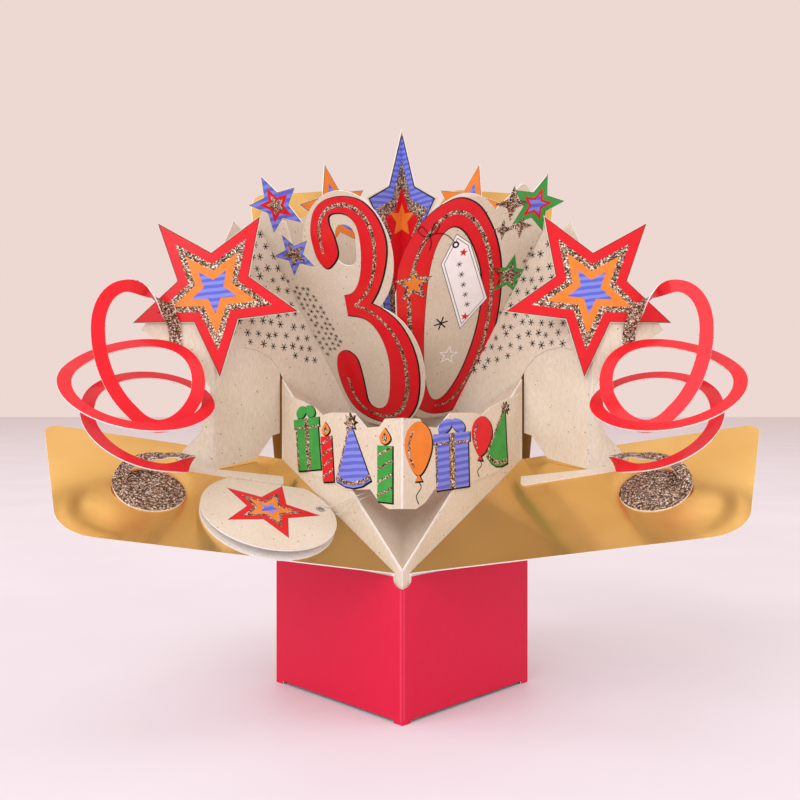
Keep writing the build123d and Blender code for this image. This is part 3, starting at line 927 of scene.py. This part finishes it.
big_layers = [(red, 0.965), (glitter, 0.685), (orange, 0.5), (blue, 0.27)]
tag_layers = [(red, 0.95), (glitter, 0.63), (orange, 0.48), (blue, 0.22)]
small_share = 0.45
for side in (-1, 1):
    nested_star(star_panel(side), (0, 0), star_radius, star_tilt - 90, big_layers)
    nested_star(back_panel(side, 2), (42.0, 203.0), 21.0, 72, [(orange, 0.955), (blue, 0.6)], small_share)
nested_star(leaf_panel, (0.0, -19.5), 20.4, 180, tag_layers)

three_side = numeral_panel(-1)
zero_side = numeral_panel(1)


def rim_point(side):
    """Upper end of a numeral panel's fold on the screen, in the panel's own u and v."""
    rise = numeral_top_height - screen_fold_height
    spot = Vector((side * numeral_reach * slope, -numeral_reach * slope, rise))
    panel = numeral_panel(side)
    return spot.dot(panel.along), spot.dot(panel.across)


three_high = rim_point(-1)
zero_high = rim_point(1)
corner_radius = 13.0
three_corner_layers = [(blue, 0.93), (red, 0.6), (glitter, 0.36)]
three_corner = (three_high[0] - 9.5, three_high[1] + 9.0)
nested_star(three_side, three_corner, corner_radius, 65, three_corner_layers, small_share)
nested_star(three_side, (43.6, 126.5), 9.8, 60, [(blue, 0.97), (glitter, 0.6)], 0.42, 0.0)
zero_corner_layers = [(green, 0.93), (red, 0.55), (blue, 0.36)]
zero_corner = (zero_high[0] - 5.0, zero_high[1] + 9.0)
nested_star(zero_side, zero_corner, corner_radius, 70, zero_corner_layers, small_share)
nested_star(zero_side, (51.2, 114.0), 9.6, 76, [(green, 0.97), (glitter, 0.62)], small_share, 0.0)

# Half of the centre star from the bottom up, drawn on both sides of its fold
fold_gap = 0.12
centre_layers = [
    (
        black,
        [(0, 122.5), (8.5, 141.5), (13.5, 171), (19.2, 179), (13, 199), (21.9, 211.8), (8.6, 219.5),
         (0, 247.4)],
    ),
    (
        blue,
        [(0, 124), (8, 142), (13, 171.5), (18.6, 179.2), (12.5, 199), (20.8, 211.6), (8.1, 219.2),
         (0, 245.6)],
    ),
    (
        glitter,
        [(0, 132), (5.5, 150), (9.5, 174), (14, 181.5), (9.6, 197.5), (17.2, 207.6), (6.6, 213.5),
         (0, 234)],
    ),
    (
        red,
        [(0, 150), (4, 165), (6.6, 180), (9.6, 186), (6.8, 196.5), (11.5, 204.6), (4.8, 208.3), (0, 221.4)],
    ),
    (orange, [(0, 200.5), (5.2, 197.4), (3.8, 203.3), (8.4, 207.2), (2.3, 207.7), (0, 213.4)]),
]
for side in (-1, 1):
    for level, (ink, half) in enumerate(centre_layers):
        if ink is glitter:
            half = half + centre_layers[level + 1][1][::-1]
        star_print.field(back_panel(side, 3), [(u + fold_gap, v) for u, v in half], ink, level)
star_print.piece("star_print", "star_card")
strew("star_glitter", star_print.beds, print_flakes, star_seed)

# Numerals: outlines in the u and v of their panels, with a black line behind and glitter lines on top
numeral_print = Print()
three_outline = [
    (28.6, 122.6), (32.6, 125.7), (34.6, 132.4), (35.0, 139.1), (32.8, 147.0), (28.0, 152.0), (20.6, 154.6),
    (13.3, 154.2), (8.0, 150.6), (4.0, 144.2), (2.2, 136.0), (3.4, 126.1), (6.3, 116.6), (10.0, 109.3),
    (4.3, 107.0), (-2.2, 101.8), (-7.0, 93.6), (-9.8, 83.6), (-10.3, 72.7), (-8.6, 62.1), (-4.3, 54.2),
    (0.6, 50.9), (7.9, 50.0), (14.6, 51.2), (21.0, 55.4), (25.2, 63.0), (27.7, 73.0), (27.2, 80.4),
    (24.6, 83.6), (21.3, 83.7), (17.9, 80.0), (15.7, 69.3), (14.4, 60.4), (12.2, 57.2), (8.5, 56.6),
    (5.0, 60.0), (3.3, 67.7), (2.9, 80.2), (4.6, 89.8), (8.4, 97.6), (13.6, 101.7), (20.9, 102.0),
    (21.9, 111.0), (18.3, 112.7), (15.5, 117.2), (13.7, 124.5), (13.2, 134.4), (14.6, 143.2), (18.3, 147.2),
    (23.0, 147.6), (26.4, 145.9), (26.6, 142.1), (24.7, 136.7), (23.8, 129.0),
]
three_sharp_corners = (13, 41, 42)
three_line = smooth(three_outline, True, three_sharp_corners)
zero_outline = smooth(
    [
        (29.8, 151.6), (23.3, 150.8), (15.8, 146.8), (9.2, 139.7), (4.2, 131.0), (1.6, 121.0), (1.4, 100.0),
        (1.8, 78.0), (5.5, 62.0), (13.0, 53.6), (21.0, 51.4), (27.4, 53.0), (34.1, 60.6), (39.7, 71.6),
        (44.2, 86.0), (46.8, 102.0), (47.2, 117.8), (45.2, 130.2), (41.2, 140.6), (36.4, 147.8),
    ]
)
zero_counter = smooth(
    [
        (26.4, 140.0), (21.8, 137.4), (18.2, 130.4), (15.6, 119.7), (14.0, 106.0), (13.0, 90.0),
        (13.2, 73.0), (15.2, 62.2), (18.8, 59.2), (23.6, 62.6), (29.6, 72.2), (35.0, 86.5), (38.2, 102.0),
        (38.3, 116.5), (35.6, 127.5), (31.2, 136.6),
    ]
)
numeral_line = 0.45
numeral_print.field(three_side, grown(three_line, numeral_line, (-0.35, -0.1)), black, 0)
numeral_print.field(three_side, three_line, red, 1)
numeral_print.field(zero_side, grown(zero_outline, numeral_line, (0.35, 0.0)), black, 0)
numeral_print.field(zero_side, zero_outline, red, 1)
numeral_print.field(zero_side, grown(zero_counter, 0.5), black, 2)
numeral_print.field(zero_side, grown(zero_counter, 0.05, (-0.25, -0.1)), buff, 3)

three_inline = [
    [
        (30.2, 129.0), (31.2, 136.5), (30.4, 143.0), (27.0, 148.4), (21.0, 151.2), (14.8, 150.2),
        (10.4, 146.2), (7.8, 139.5), (7.4, 130.0), (8.9, 121.0), (12.0, 113.6), (17.4, 107.0),
    ],
    [
        (17.6, 107.2), (11.0, 105.6), (4.6, 101.0), (-0.4, 94.6), (-3.7, 85.9), (-5.0, 76.0), (-4.4, 65.8),
        (-1.5, 58.0), (4.0, 53.6), (11.0, 53.4), (17.0, 56.4), (20.8, 62.5), (22.9, 70.0),
    ],
]
zero_inline = [
    [
        (6.2, 113.0), (9.3, 126.5), (14.0, 136.2), (20.0, 143.2), (26.5, 146.2), (32.6, 144.0),
        (38.0, 137.0), (41.6, 127.0), (43.2, 114.5), (42.8, 101.0), (40.2, 86.0), (35.8, 73.0),
        (30.2, 63.4), (24.0, 56.8), (17.0, 55.6),
    ],
    [(6.4, 112.0), (6.6, 100.0), (7.2, 88.0)],
]
for line in three_inline:
    numeral_print.stroke(three_side, smooth(line, False), (1.0, 1.9, 0.9), glitter, 2)
for line in zero_inline:
    numeral_print.stroke(zero_side, smooth(line, False), (1.3, 1.9, 0.9), glitter, 2)

# Small print on the numeral panels: a plain tag with its string, stars, sparks
tag_outline = [(27.5, 136.7), (33.3, 131.8), (41.2, 105.4), (29.1, 93.3), (20.8, 124.9)]
for ink, distance, level in ((black, 0.25, 4), (white, 0.0, 5), (black, -0.95, 6), (white, -1.2, 7)):
    numeral_print.field(zero_side, grown(tag_outline, distance), ink, level)
eyelet, eyelet_radius, hole_radius = (27.0, 132.4), 1.5, 0.75
numeral_print.field(zero_side, oval(eyelet, eyelet_radius, eyelet_radius), black, 8)
numeral_print.field(zero_side, oval(eyelet, hole_radius, hole_radius), white, 9)
for middle in ((30.4, 128.4), (31.2, 98.6)):
    numeral_print.field(zero_side, star(middle, 1.9, 80), red, 8)
bow, string_width = (16.2, 137.8), 0.28
string_lines = [
    [(26.6, 133.6), (23.0, 137.4), (18.6, 138.6), bow],
    [bow, (13.0, 142.4), (11.2, 141.0), (13.4, 138.2), bow],
    [bow, (18.0, 142.8), (20.2, 142.2), (18.8, 139.2), bow],
    [bow, (13.4, 135.6), (11.6, 132.6)],
    [bow, (16.6, 134.6), (15.8, 131.8)],
]
for line in string_lines:
    numeral_print.stroke(zero_side, smooth(line, False), string_width, black, 8)
orange_star = star((8.7, 118.0), 4.9, 88)
numeral_print.field(zero_side, star((8.7, 118.0), 8.6, 88), glitter, 4, [orange_star])
numeral_print.field(zero_side, orange_star, orange, 5)
outline_star = star((23.6, 81.0), 4.8, 78)
numeral_print.field(zero_side, outline_star, white, 4, [grown(outline_star, -0.5)])
for middle, radius in (((51.4, 146.0), 7.6), ((55.6, 135.6), 5.4), ((47.6, 135.4), 4.6)):
    numeral_print.field(zero_side, star(middle, radius, 84, 0.36, 4), glitter, 1)
numeral_print.piece("numeral_print", "numeral_card")
strew("numeral_glitter", numeral_print.beds, print_flakes, numeral_seed)

# Asterisks: rows in patches of the screen and the numeral panels, and single ones on the second panel
marks = Marks()
draw = random.Random(4)
screen_spacing, screen_mark = 5.3, 3.1
panel_spacing, panel_mark = 2.9, 2.0
screen_patch = [
    (44, 130), (62, 136), (80, 141), (93, 142), (101, 150), (101, 182), (84, 192), (79, 184), (48, 137),
]
three_patch = [(55, 130), (50, 120), (47, 112), (38, 112), (24.5, 88), (29, 83), (32.5, 77), (34, 81)]
zero_patch = [(62, 127), (57, 122), (57, 106), (48.8, 103), (47, 92), (43, 88), (60.5, 122.5)]
for side in (-1, 1):
    marks.fill(back_panel(side, 2), screen_patch, screen_spacing, screen_mark, draw)
marks.fill(three_side, three_patch, panel_spacing, panel_mark, draw)
marks.fill(zero_side, zero_patch, panel_spacing, panel_mark, draw)
for u, v, size in ((20.4, 97.4, 6.2), (25.2, 70.6, 2.6), (22.8, 66.2, 2.6), (20.2, 62.2, 2.6)):
    marks.mark(zero_side, u, v, size, 0.15)
tag_lift = 8 * Print.step
for step in range(5):
    marks.mark(zero_side, 28.6 + 0.9 * step, 123.4 - 4.8 * step, 2.6, 0.2, tag_lift)
marks.piece("asterisk_print", "numeral_card")

# Banner print: party shapes in fields of colour, with glitter trim and dark shadows
banner_print = Print()


class Motif:
    """A party shape on the banner: its own p runs to the viewer's right and q up, in mm."""

    def __init__(self, side, reach, height, turn=0.0):
        self.panel = front_panel(side, 1)
        self.side, self.reach, self.height = side, reach, height
        self.turn = math.radians(turn)

    def laid(self, outline):
        """The outline at the shape's place, in the panel's u and v."""
        c, s = math.cos(self.turn), math.sin(self.turn)
        return [
            (self.reach + self.side * (p * c - q * s), self.height + p * s + q * c) for p, q in outline
        ]

    def field(self, outline, ink, level=1, shadow=True):
        """A field of ink, with a dark shadow to its right and below."""
        shape = self.laid(outline)
        if shadow:
            banner_print.field(self.panel, grown(shape, 0.3, (self.side * 0.55, -0.35)), black, 0)
        banner_print.field(self.panel, shape, ink, level)

    def stroke(self, line, width, ink, level=2):
        """A line of ink."""
        banner_print.stroke(self.panel, self.laid(line), width, ink, level)


# The shapes are drawn in shares of their half width w and half height h
trim_width = 0.9


def gift(side, reach, height, wide, tall, ink, turn=0.0):
    """A gift box with its lid, a bow and glitter ribbons."""
    shape = Motif(side, reach, height, turn)
    w, h = wide / 2, tall / 2
    box_top = h * 0.3
    shape.field([(-w * 0.9, -h), (w * 0.9, -h), (w * 0.9, box_top), (-w * 0.9, box_top)], ink)
    shape.field([(-w, box_top), (w, box_top), (w, h * 0.56), (-w, h * 0.56)], ink, 2)
    shape.field(oval((-w * 0.36, h * 0.76), w * 0.4, h * 0.17, 25), ink, 3)
    shape.field(oval((w * 0.36, h * 0.76), w * 0.4, h * 0.17, -25), ink, 3)
    shape.stroke([(0, -h), (0, h * 0.56)], w * 0.3, glitter, 4)
    shape.stroke([(-w, box_top - 0.2), (w, box_top - 0.2)], trim_width, glitter, 5)
    shape.stroke([(-w * 0.9 + 0.5, -h), (-w * 0.9 + 0.5, box_top - 0.6)], trim_width, glitter, 4)


def candle(side, reach, height, wide, tall, ink, turn=0.0):
    """A candle with slanted glitter stripes and a flame."""
    shape = Motif(side, reach, height, turn)
    w, h = wide / 2, tall / 2
    top = h * 0.5
    shape.field([(-w, -h), (w, -h), (w, top), (-w, top)], ink)
    flame = smooth([(0, h * 0.98), (w * 0.75, h * 0.7), (0, h * 0.54), (-w * 0.75, h * 0.7)], True, (0,))
    shape.field(flame, orange, 1)
    inner = smooth([(0, h * 0.86), (w * 0.35, h * 0.69), (0, h * 0.59), (-w * 0.35, h * 0.69)], True, (0,))
    shape.field(inner, glitter, 2, False)
    for step in range(4):
        low = -h + (step + 0.4) * (top + h) / 4.2
        shape.stroke([(-w, low), (w, low + wide * 0.45)], 0.95, glitter, 2)


def balloon(side, reach, height, wide, tall, ink, turn=0.0):
    """A balloon with its knot, a string and a glitter gleam."""
    shape = Motif(side, reach, height, turn)
    w, h = wide / 2, tall / 2
    half = [(w * 0.8, h * 0.78), (w, h * 0.36), (w * 0.55, -h * 0.1)]
    body = smooth([(0, h)] + half + [(0, -h * 0.3)] + [(-p, q) for p, q in reversed(half)])
    shape.field(body, ink)
    shape.field([(0, -h * 0.27), (w * 0.26, -h * 0.44), (-w * 0.26, -h * 0.44)], ink)
    string = [(0, -h * 0.44), (w * 0.2, -h * 0.6), (-w * 0.15, -h * 0.8), (w * 0.05, -h)]
    shape.stroke(smooth(string, False), 0.4, black, 1)
    gleam = [(-w * 0.4, h * 0.78), (-w * 0.68, h * 0.48), (-w * 0.62, h * 0.14), (-w * 0.3, -h * 0.1)]
    shape.stroke(smooth(gleam, False), (0.7, 1.3, 0.7), glitter)


def hat(side, reach, height, wide, tall, ink, turn=0.0):
    """A pointed party hat with a glitter rim, edge and pompom."""
    shape = Motif(side, reach, height, turn)
    w, h = wide / 2, tall / 2
    base = [(w, -h * 0.8), (w * 0.5, -h * 0.95), (0, -h), (-w * 0.5, -h * 0.95), (-w, -h * 0.8)]
    shape.field([(0, h * 0.8)] + base, ink)
    rim_half = [(w * 0.97, -h * 0.7), (w * 0.5, -h * 0.84)]
    rim = rim_half + [(0, -h * 0.88)] + [(-p, q) for p, q in reversed(rim_half)]
    shape.stroke(rim, 1.6, glitter)
    shape.stroke([(-w * 0.9, -h * 0.66), (-w * 0.08, h * 0.7)], trim_width, glitter)
    shape.field(star((0, h * 0.82), w * 0.36, 90, 0.55, 8), glitter, 3)


gift(-1, 54.4, 104.0, 16.0, 27.0, green, 6)
candle(-1, 42.2, 98.6, 6.6, 24.0, red, 5)
hat(-1, 27.4, 99.0, 20.0, 28.0, blue, 4)
candle(-1, 9.0, 95.0, 8.0, 28.0, green)
balloon(1, 8.2, 95.6, 14.5, 31.0, orange)
gift(1, 27.0, 98.6, 21.0, 27.5, blue, 2)
balloon(1, 44.2, 100.4, 12.4, 24.5, red, -6)
hat(1, 56.8, 105.2, 14.0, 27.0, green, -14)
banner_print.piece("banner_print", "banner_card")
strew("banner_glitter", banner_print.beds, print_flakes, banner_seed)

# Creases: the print cracks to white along the folds of the banner, the centre star and the cup, and a
# lighter pink stripe up the sleeve's front edge is a painted highlight of its rounded fold; each row gives
# the panel, the line, its width, its ink and its level
crease_and_highlight_print = Print()
beside_fold, highlight_middle = 0.2, 0.55
for side in (-1, 1):
    cup_crease = [(beside_fold, cup_tip - 0.4), (70.6, cup_tip + 70.0)]
    # A lighter pink stripe up the sleeve's front edge: a painted highlight of the rounded fold
    sleeve_edge = [(highlight_middle, 1.4), (highlight_middle, sleeve_height - 4.6)]
    for panel, line, width, ink, level in (
        (front_panel(side, 1), [(beside_fold, 79.5), (beside_fold, 112)], 0.22, white_core, 0),
        (back_panel(side, 3), [(beside_fold, 124), (beside_fold, 246)], 0.2, white_core, 6),
        (front_panel(side, 2), cup_crease, 0.24, white_core, 0),
        (front_panel(side, 0), sleeve_edge, 1.0, pink_fold_highlight, 0),
    ):
        crease_and_highlight_print.stroke(panel, line, width, ink, level)
crease_and_highlight_print.piece("creased_folds_and_highlight", "buff_card")

# Streamers: card spirals drawn finer than the solids, glitter above and red below. Each list gives a value
# after a number of turns: the loops' middles, radii, widths over radii, tilts and slants in degrees
streamer_place = (93.0, 35.6)
disc_middle = on_wing(*streamer_place, card)
disc_corners = 64
loops = 4
steps = 60  # steps of a loop
first_turn = 1 / 3
start_angle = 0.35
loop_middles = [
    (first_turn, disc_middle + wing_normal * 0.15),
    (0.5, disc_middle + wing_normal * 2.0),
    (0.75, disc_middle + Vector((-1.5, 1.0, 6.0))),
    (1.0, disc_middle + Vector((-3.0, 2.0, 15.5))),
    (1.5, disc_middle + Vector((-2.0, 2.0, 29.0))),
    (2.0, disc_middle + Vector((-2.0, 1.0, 36.5))),
    (2.5, disc_middle + Vector((-6.0, 0.0, 37.0))),
    (3.0, disc_middle + Vector((-3.0, 1.0, 42.5))),
    (3.5, disc_middle + Vector((-3.0, 3.0, 55.0))),
    (4.0, disc_middle + Vector((-6.0, 5.0, 52.0))),
]
loop_radii = [(first_turn, disc_radius - 0.52 * streamer_width), (0.5, 12.0), (0.75, 14.5), (1.0, 18.0)]
loop_radii += [(1.5, 21.5), (2.5, 25.5), (3.5, 26.0), (4.0, 24.0)]
loop_widths = [(0.0, 1.0), (2.6, 1.0), (3.3, 0.62), (4.0, 0.58)]
loop_tilts = [(0.0, 0.0), (1.0, 0.0), (1.5, 2.0), (2.5, 1.0), (3.2, 38.0), (4.0, 44.0)]
loop_slants = [(0.0, 0.0), (2.6, 0.0), (3.3, 24.0), (4.0, 20.0)]


def wing_height(x, y):
    """Height of the wing's middle surface over a place on the table."""
    away = Vector((x, y, 0)) - Vector((0, wing_root.y, 0))
    return wing_root.z - away.dot(wing_normal) / wing_normal.z


# The end of a streamer lies on the front of its leg, above the leg's waist
waist_share = 0.4
leg_line = screen_front + card
leg_x = -(ring(1) - leg_line)
leg_base = wing_height(leg_x, leg_line) + card / wing_normal.z
leg_rise = star_height - leg_base
waist_height = leg_base + waist_share * leg_rise
end_reach, end_gap, end_share = 15.0, 1.9, 0.275
streamer_end = Vector((leg_x - end_reach, leg_line - end_gap * card, waist_height + end_share * leg_rise))
leg_turns = 0.22


def between(stops, turn):
    """Value at a turn, in straight runs between the stops."""
    for (low, first), (high, second) in zip(stops, stops[1:]):
        if turn <= high:
            share = (turn - low) / (high - low)
            return first * (1 - share) + second * share
    return stops[-1][1]


def streamer_point(turn, outward=0.0):
    """Place on the streamer's free loops, or beside it, after a number of turns."""
    tilt, slant = math.radians(between(loop_tilts, turn)), math.radians(between(loop_slants, turn))
    angle = -2 * math.pi * turn - start_angle
    rise = wing_across * math.cos(tilt) + wing_normal * math.sin(tilt)
    reach = between(loop_radii, turn)
    p = math.cos(angle) * (reach * between(loop_widths, turn) + outward)
    q = math.sin(angle) * (reach + outward)
    spot = between(loop_middles, turn) - wing_along * (p * math.cos(slant) - q * math.sin(slant))
    return spot + rise * (p * math.sin(slant) + q * math.cos(slant))


def eased(turn, first, last):
    """Goes softly from 0 to 1 between the first and the last turn."""
    share = min(1.0, max(0.0, (turn - first) / (last - first)))
    return share * share * (3 - 2 * share)


def leg_pull(turn):
    """How far the streamer is drawn to the leg: 0 on the free loops, 1 at its end."""
    return eased(turn, loops - leg_turns, loops)


def streamer_spot(turn, outward=0.0):
    """Place on the streamer's middle line, drawn to the leg over the last part of the last loop."""
    return streamer_point(turn, outward) + (streamer_end - streamer_point(loops)) * leg_pull(turn)


# Turns over which the ribbon makes its two half twists
first_twist = (0.85, 1.12)
last_twist = (3.68, 3.9)
look_ahead = 0.004
ribbon_sharp_angle = 40


def streamer(side):
    """A ribbon of four corners a step, its disc on the wing, and its glitter flakes."""
    name = "left" if side < 0 else "right"
    corners, faces, finishes = [], [], []
    count = round((loops - first_turn) * steps)
    for step in range(count + 1):
        turn = first_turn + step / steps
        here = streamer_spot(turn)
        ahead = (streamer_spot(turn + look_ahead) - streamer_spot(turn - look_ahead)).normalized()
        outward = streamer_spot(turn, 1.0) - here
        outward.y *= 1.0 - leg_pull(turn)
        outward = (outward - ahead * outward.dot(ahead)).normalized()
        lift = ahead.cross(outward)
        if step == 0:
            flip = 1 if lift.dot(wing_normal) > 0 else -1
        twist = math.pi * (eased(turn, *first_twist) + eased(turn, *last_twist))
        c, s = math.cos(twist), math.sin(twist)
        outward, lift = outward * c + lift * s, lift * c - outward * s
        for across, above in ((-0.5, 0.5), (0.5, 0.5), (0.5, -0.5), (-0.5, -0.5)):
            spot = here + outward * across * streamer_width + lift * flip * above * card
            corners.append(place(sided(spot, side)))
    for step in range(count):
        for edge, finish in enumerate((FRONT, CUT, REVERSE, CUT)):
            a, b = 4 * step + edge, 4 * step + (edge + 1) % 4
            faces.append((a, b, b + 4, a + 4))
            finishes.append(finish)
    faces += [(3, 2, 1, 0), tuple(4 * count + k for k in range(4))]
    finishes += [CUT, CUT]
    start = len(corners)
    for above in (0.5, -0.5):
        for step in range(disc_corners):
            angle = 2 * math.pi * step / disc_corners
            away = wing_along * math.cos(angle) + wing_across * math.sin(angle)
            spot = disc_middle + away * disc_radius
            corners.append(place(sided(spot + wing_normal * above * card, side)))
    faces.append(tuple(start + k for k in range(disc_corners)))
    faces.append(tuple(start + disc_corners + k for k in reversed(range(disc_corners))))
    finishes += [FRONT, REVERSE]
    for k in range(disc_corners):
        a, b = start + k, start + (k + 1) % disc_corners
        faces.append((a, a + disc_corners, b + disc_corners, b))
        finishes.append(CUT)
    mesh = bpy.data.meshes.new("streamer_ribbon_" + name)
    mesh.from_pydata(corners, [], faces)
    for finish in (glitter, red, white_core):
        mesh.materials.append(finish)
    mesh.polygons.foreach_set("material_index", finishes)
    mesh.polygons.foreach_set("use_smooth", [True] * len(faces))
    face_outwards(mesh)
    mesh.set_sharp_from_angle(angle=math.radians(ribbon_sharp_angle))
    piece = settle(new_piece("streamer_ribbon_" + name, mesh))
    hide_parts("streamer_" + name)
    upper = [face for face in mesh.polygons if face.material_index == FRONT]
    bed = [[mesh.vertices[k].co.copy() for k in face.vertices] for face in upper]
    strew("streamer_glitter_" + name, bed, ribbon_flakes, ribbon_seed + side)


for side in (-1, 1):
    streamer(side)

# Thread: a clear elastic loop from the strut over the cup's fold and through the tag's upper leaf
thread_diameter = 0.4
route = [
    (-3.45, -24.10, 89.02),
    (-12.73, -33.23, 83.30),
    (-17.68, -38.18, 82.50),
    (-25.54, -27.38, 77.07),
    (-33.28, -29.16, 77.56),
    (-33.06, -31.26, 75.42),
    (-23.73, -28.51, 73.53),
    (-17.25, -40.02, 81.10),
    (-11.88, -34.65, 82.10),
    (-3.85, -22.50, 86.42),
]


def clear_elastic():
    """Thin clear polyurethane elastic: glassy, with a faint milky body."""
    ripple_size = 2.0
    made, tree, shader = finish_named(
        "clear_elastic",
        Base_Color=hex_colour("#F2ECE4"),
        Roughness=0.16,
        Transmission_Weight=0.65,
        IOR=1.5,
    )
    spot = add(tree, "ShaderNodeTexCoord").outputs["Object"]
    ripple = add(tree, "ShaderNodeTexNoise", inputs={"Vector": spot, "Scale": 1 / (ripple_size * MM)})
    bump = add(
        tree,
        "ShaderNodeBump",
        inputs={"Strength": 0.1, "Distance": 0.05 * MM, "Height": ripple.outputs["Fac"]},
    )
    tree.links.new(bump.outputs[0], shader.inputs["Normal"])
    return made


thread_curve = bpy.data.curves.new("elastic_thread", "CURVE")
thread_curve.dimensions = "3D"
thread_curve.bevel_depth = thread_diameter * MM / 2
thread_curve.bevel_resolution = 3
thread_curve.resolution_u = 12
spline = thread_curve.splines.new("NURBS")
spline.points.add(len(route) - 1)
for point, spot in zip(spline.points, route):
    point.co = (*place(Vector(spot)), 1.0)
spline.order_u = 3
spline.use_endpoint_u = True
thread_curve.materials.append(clear_elastic())
thread = settle(new_piece("elastic_thread", thread_curve))
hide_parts("tag_thread")


# Band inside the sleeve
def band_rubber():
    """Natural rubber, tan and dusty, with a soft matte skin."""
    dust_size = 3.0
    made, tree, shader = finish_named("natural_rubber", Roughness=0.7)
    spot = add(tree, "ShaderNodeTexCoord").outputs["Object"]
    dust = add(
        tree,
        "ShaderNodeTexNoise",
        inputs={"Vector": spot, "Scale": 1 / (dust_size * MM), "Detail": 3.0},
    )
    tone = add(
        tree,
        "ShaderNodeValToRGB",
        inputs={"Fac": dust.outputs["Fac"]},
        stops=[(0.3, "#B58B57"), (0.7, "#CBA878")],
    )
    tree.links.new(tone.outputs["Color"], shader.inputs["Base Color"])
    return made


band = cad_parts["rubber_band"]
band.data.materials.clear()
band.data.materials.append(band_rubber())


# Stage: pale floor, soft light and the camera
def floor_paint():
    """Pale painted table, matte, with the faintest mottle."""
    cloud_size = 120.0
    made, tree, shader = finish_named("pale_floor", Roughness=0.55)
    spot = add(tree, "ShaderNodeTexCoord").outputs["Object"]
    cloud = add(
        tree,
        "ShaderNodeTexNoise",
        inputs={"Vector": spot, "Scale": 1 / (cloud_size * MM), "Detail": 2.0},
    )
    tone = add(
        tree,
        "ShaderNodeValToRGB",
        inputs={"Fac": cloud.outputs["Fac"]},
        stops=[(0.3, "#DEDAE0"), (0.7, "#E3DFE5")],
    )
    tree.links.new(tone.outputs["Color"], shader.inputs["Base Color"])
    return made


floor_half = 6.0
floor_corners = [(x * floor_half, y * floor_half, 0) for x, y in ((-1, -1), (1, -1), (1, 1), (-1, 1))]
floor_mesh = bpy.data.meshes.new("floor")
floor_mesh.from_pydata(floor_corners, [], [(0, 1, 2, 3)])
floor_mesh.materials.append(floor_paint())
new_piece("floor", floor_mesh)

world = bpy.data.worlds.new("studio")
world.use_nodes = True
backdrop = world.node_tree.nodes["Background"]
backdrop.inputs["Color"].default_value = hex_colour("#F8E3DC")
backdrop.inputs["Strength"].default_value = 0.9
bpy.context.scene.world = world


def softbox(name, spot, aim, wide, tall, power):
    """A soft light by its place and size in metres and its power in watts."""
    lamp = bpy.data.lights.new(name, "AREA")
    lamp.shape = "RECTANGLE"
    lamp.size, lamp.size_y, lamp.energy = wide, tall, power
    lamp.color = hex_colour("#EEF4FF")[:3]
    holder = new_piece(name, lamp)
    holder.location = spot
    holder.rotation_euler = (Vector(aim) - Vector(spot)).to_track_quat("-Z", "Y").to_euler()


light_aim = (0.0, 0.0, 0.12)
softbox("key", (-2.4, -2.8, 2.28), light_aim, 4.8, 4.0, 148.0)
softbox("fill", (2.6, -1.8, 1.28), light_aim, 3.2, 2.4, 32.0)
softbox("overhead", (0.0, 0.1, 1.6), light_aim, 1.6, 1.2, 5.0)

# The camera looks level along y; its place is in mm from the sleeve's axis
camera = bpy.data.cameras.new("camera")
focal_px, image_px = 921.0, 800.0
eye_back, eye_height, eye_left = 389.0, 119.0, 0.85
camera.sensor_width = 36.0
camera.lens = focal_px / image_px * camera.sensor_width
camera.clip_start = 0.01
eye = new_piece("camera", camera)
eye.location = place(Vector((-eye_left, -eye_back, eye_height)))
eye.rotation_euler = (math.radians(90), 0, 0)
bpy.context.scene.camera = eye
bpy.context.scene.view_settings.view_transform = "Standard"
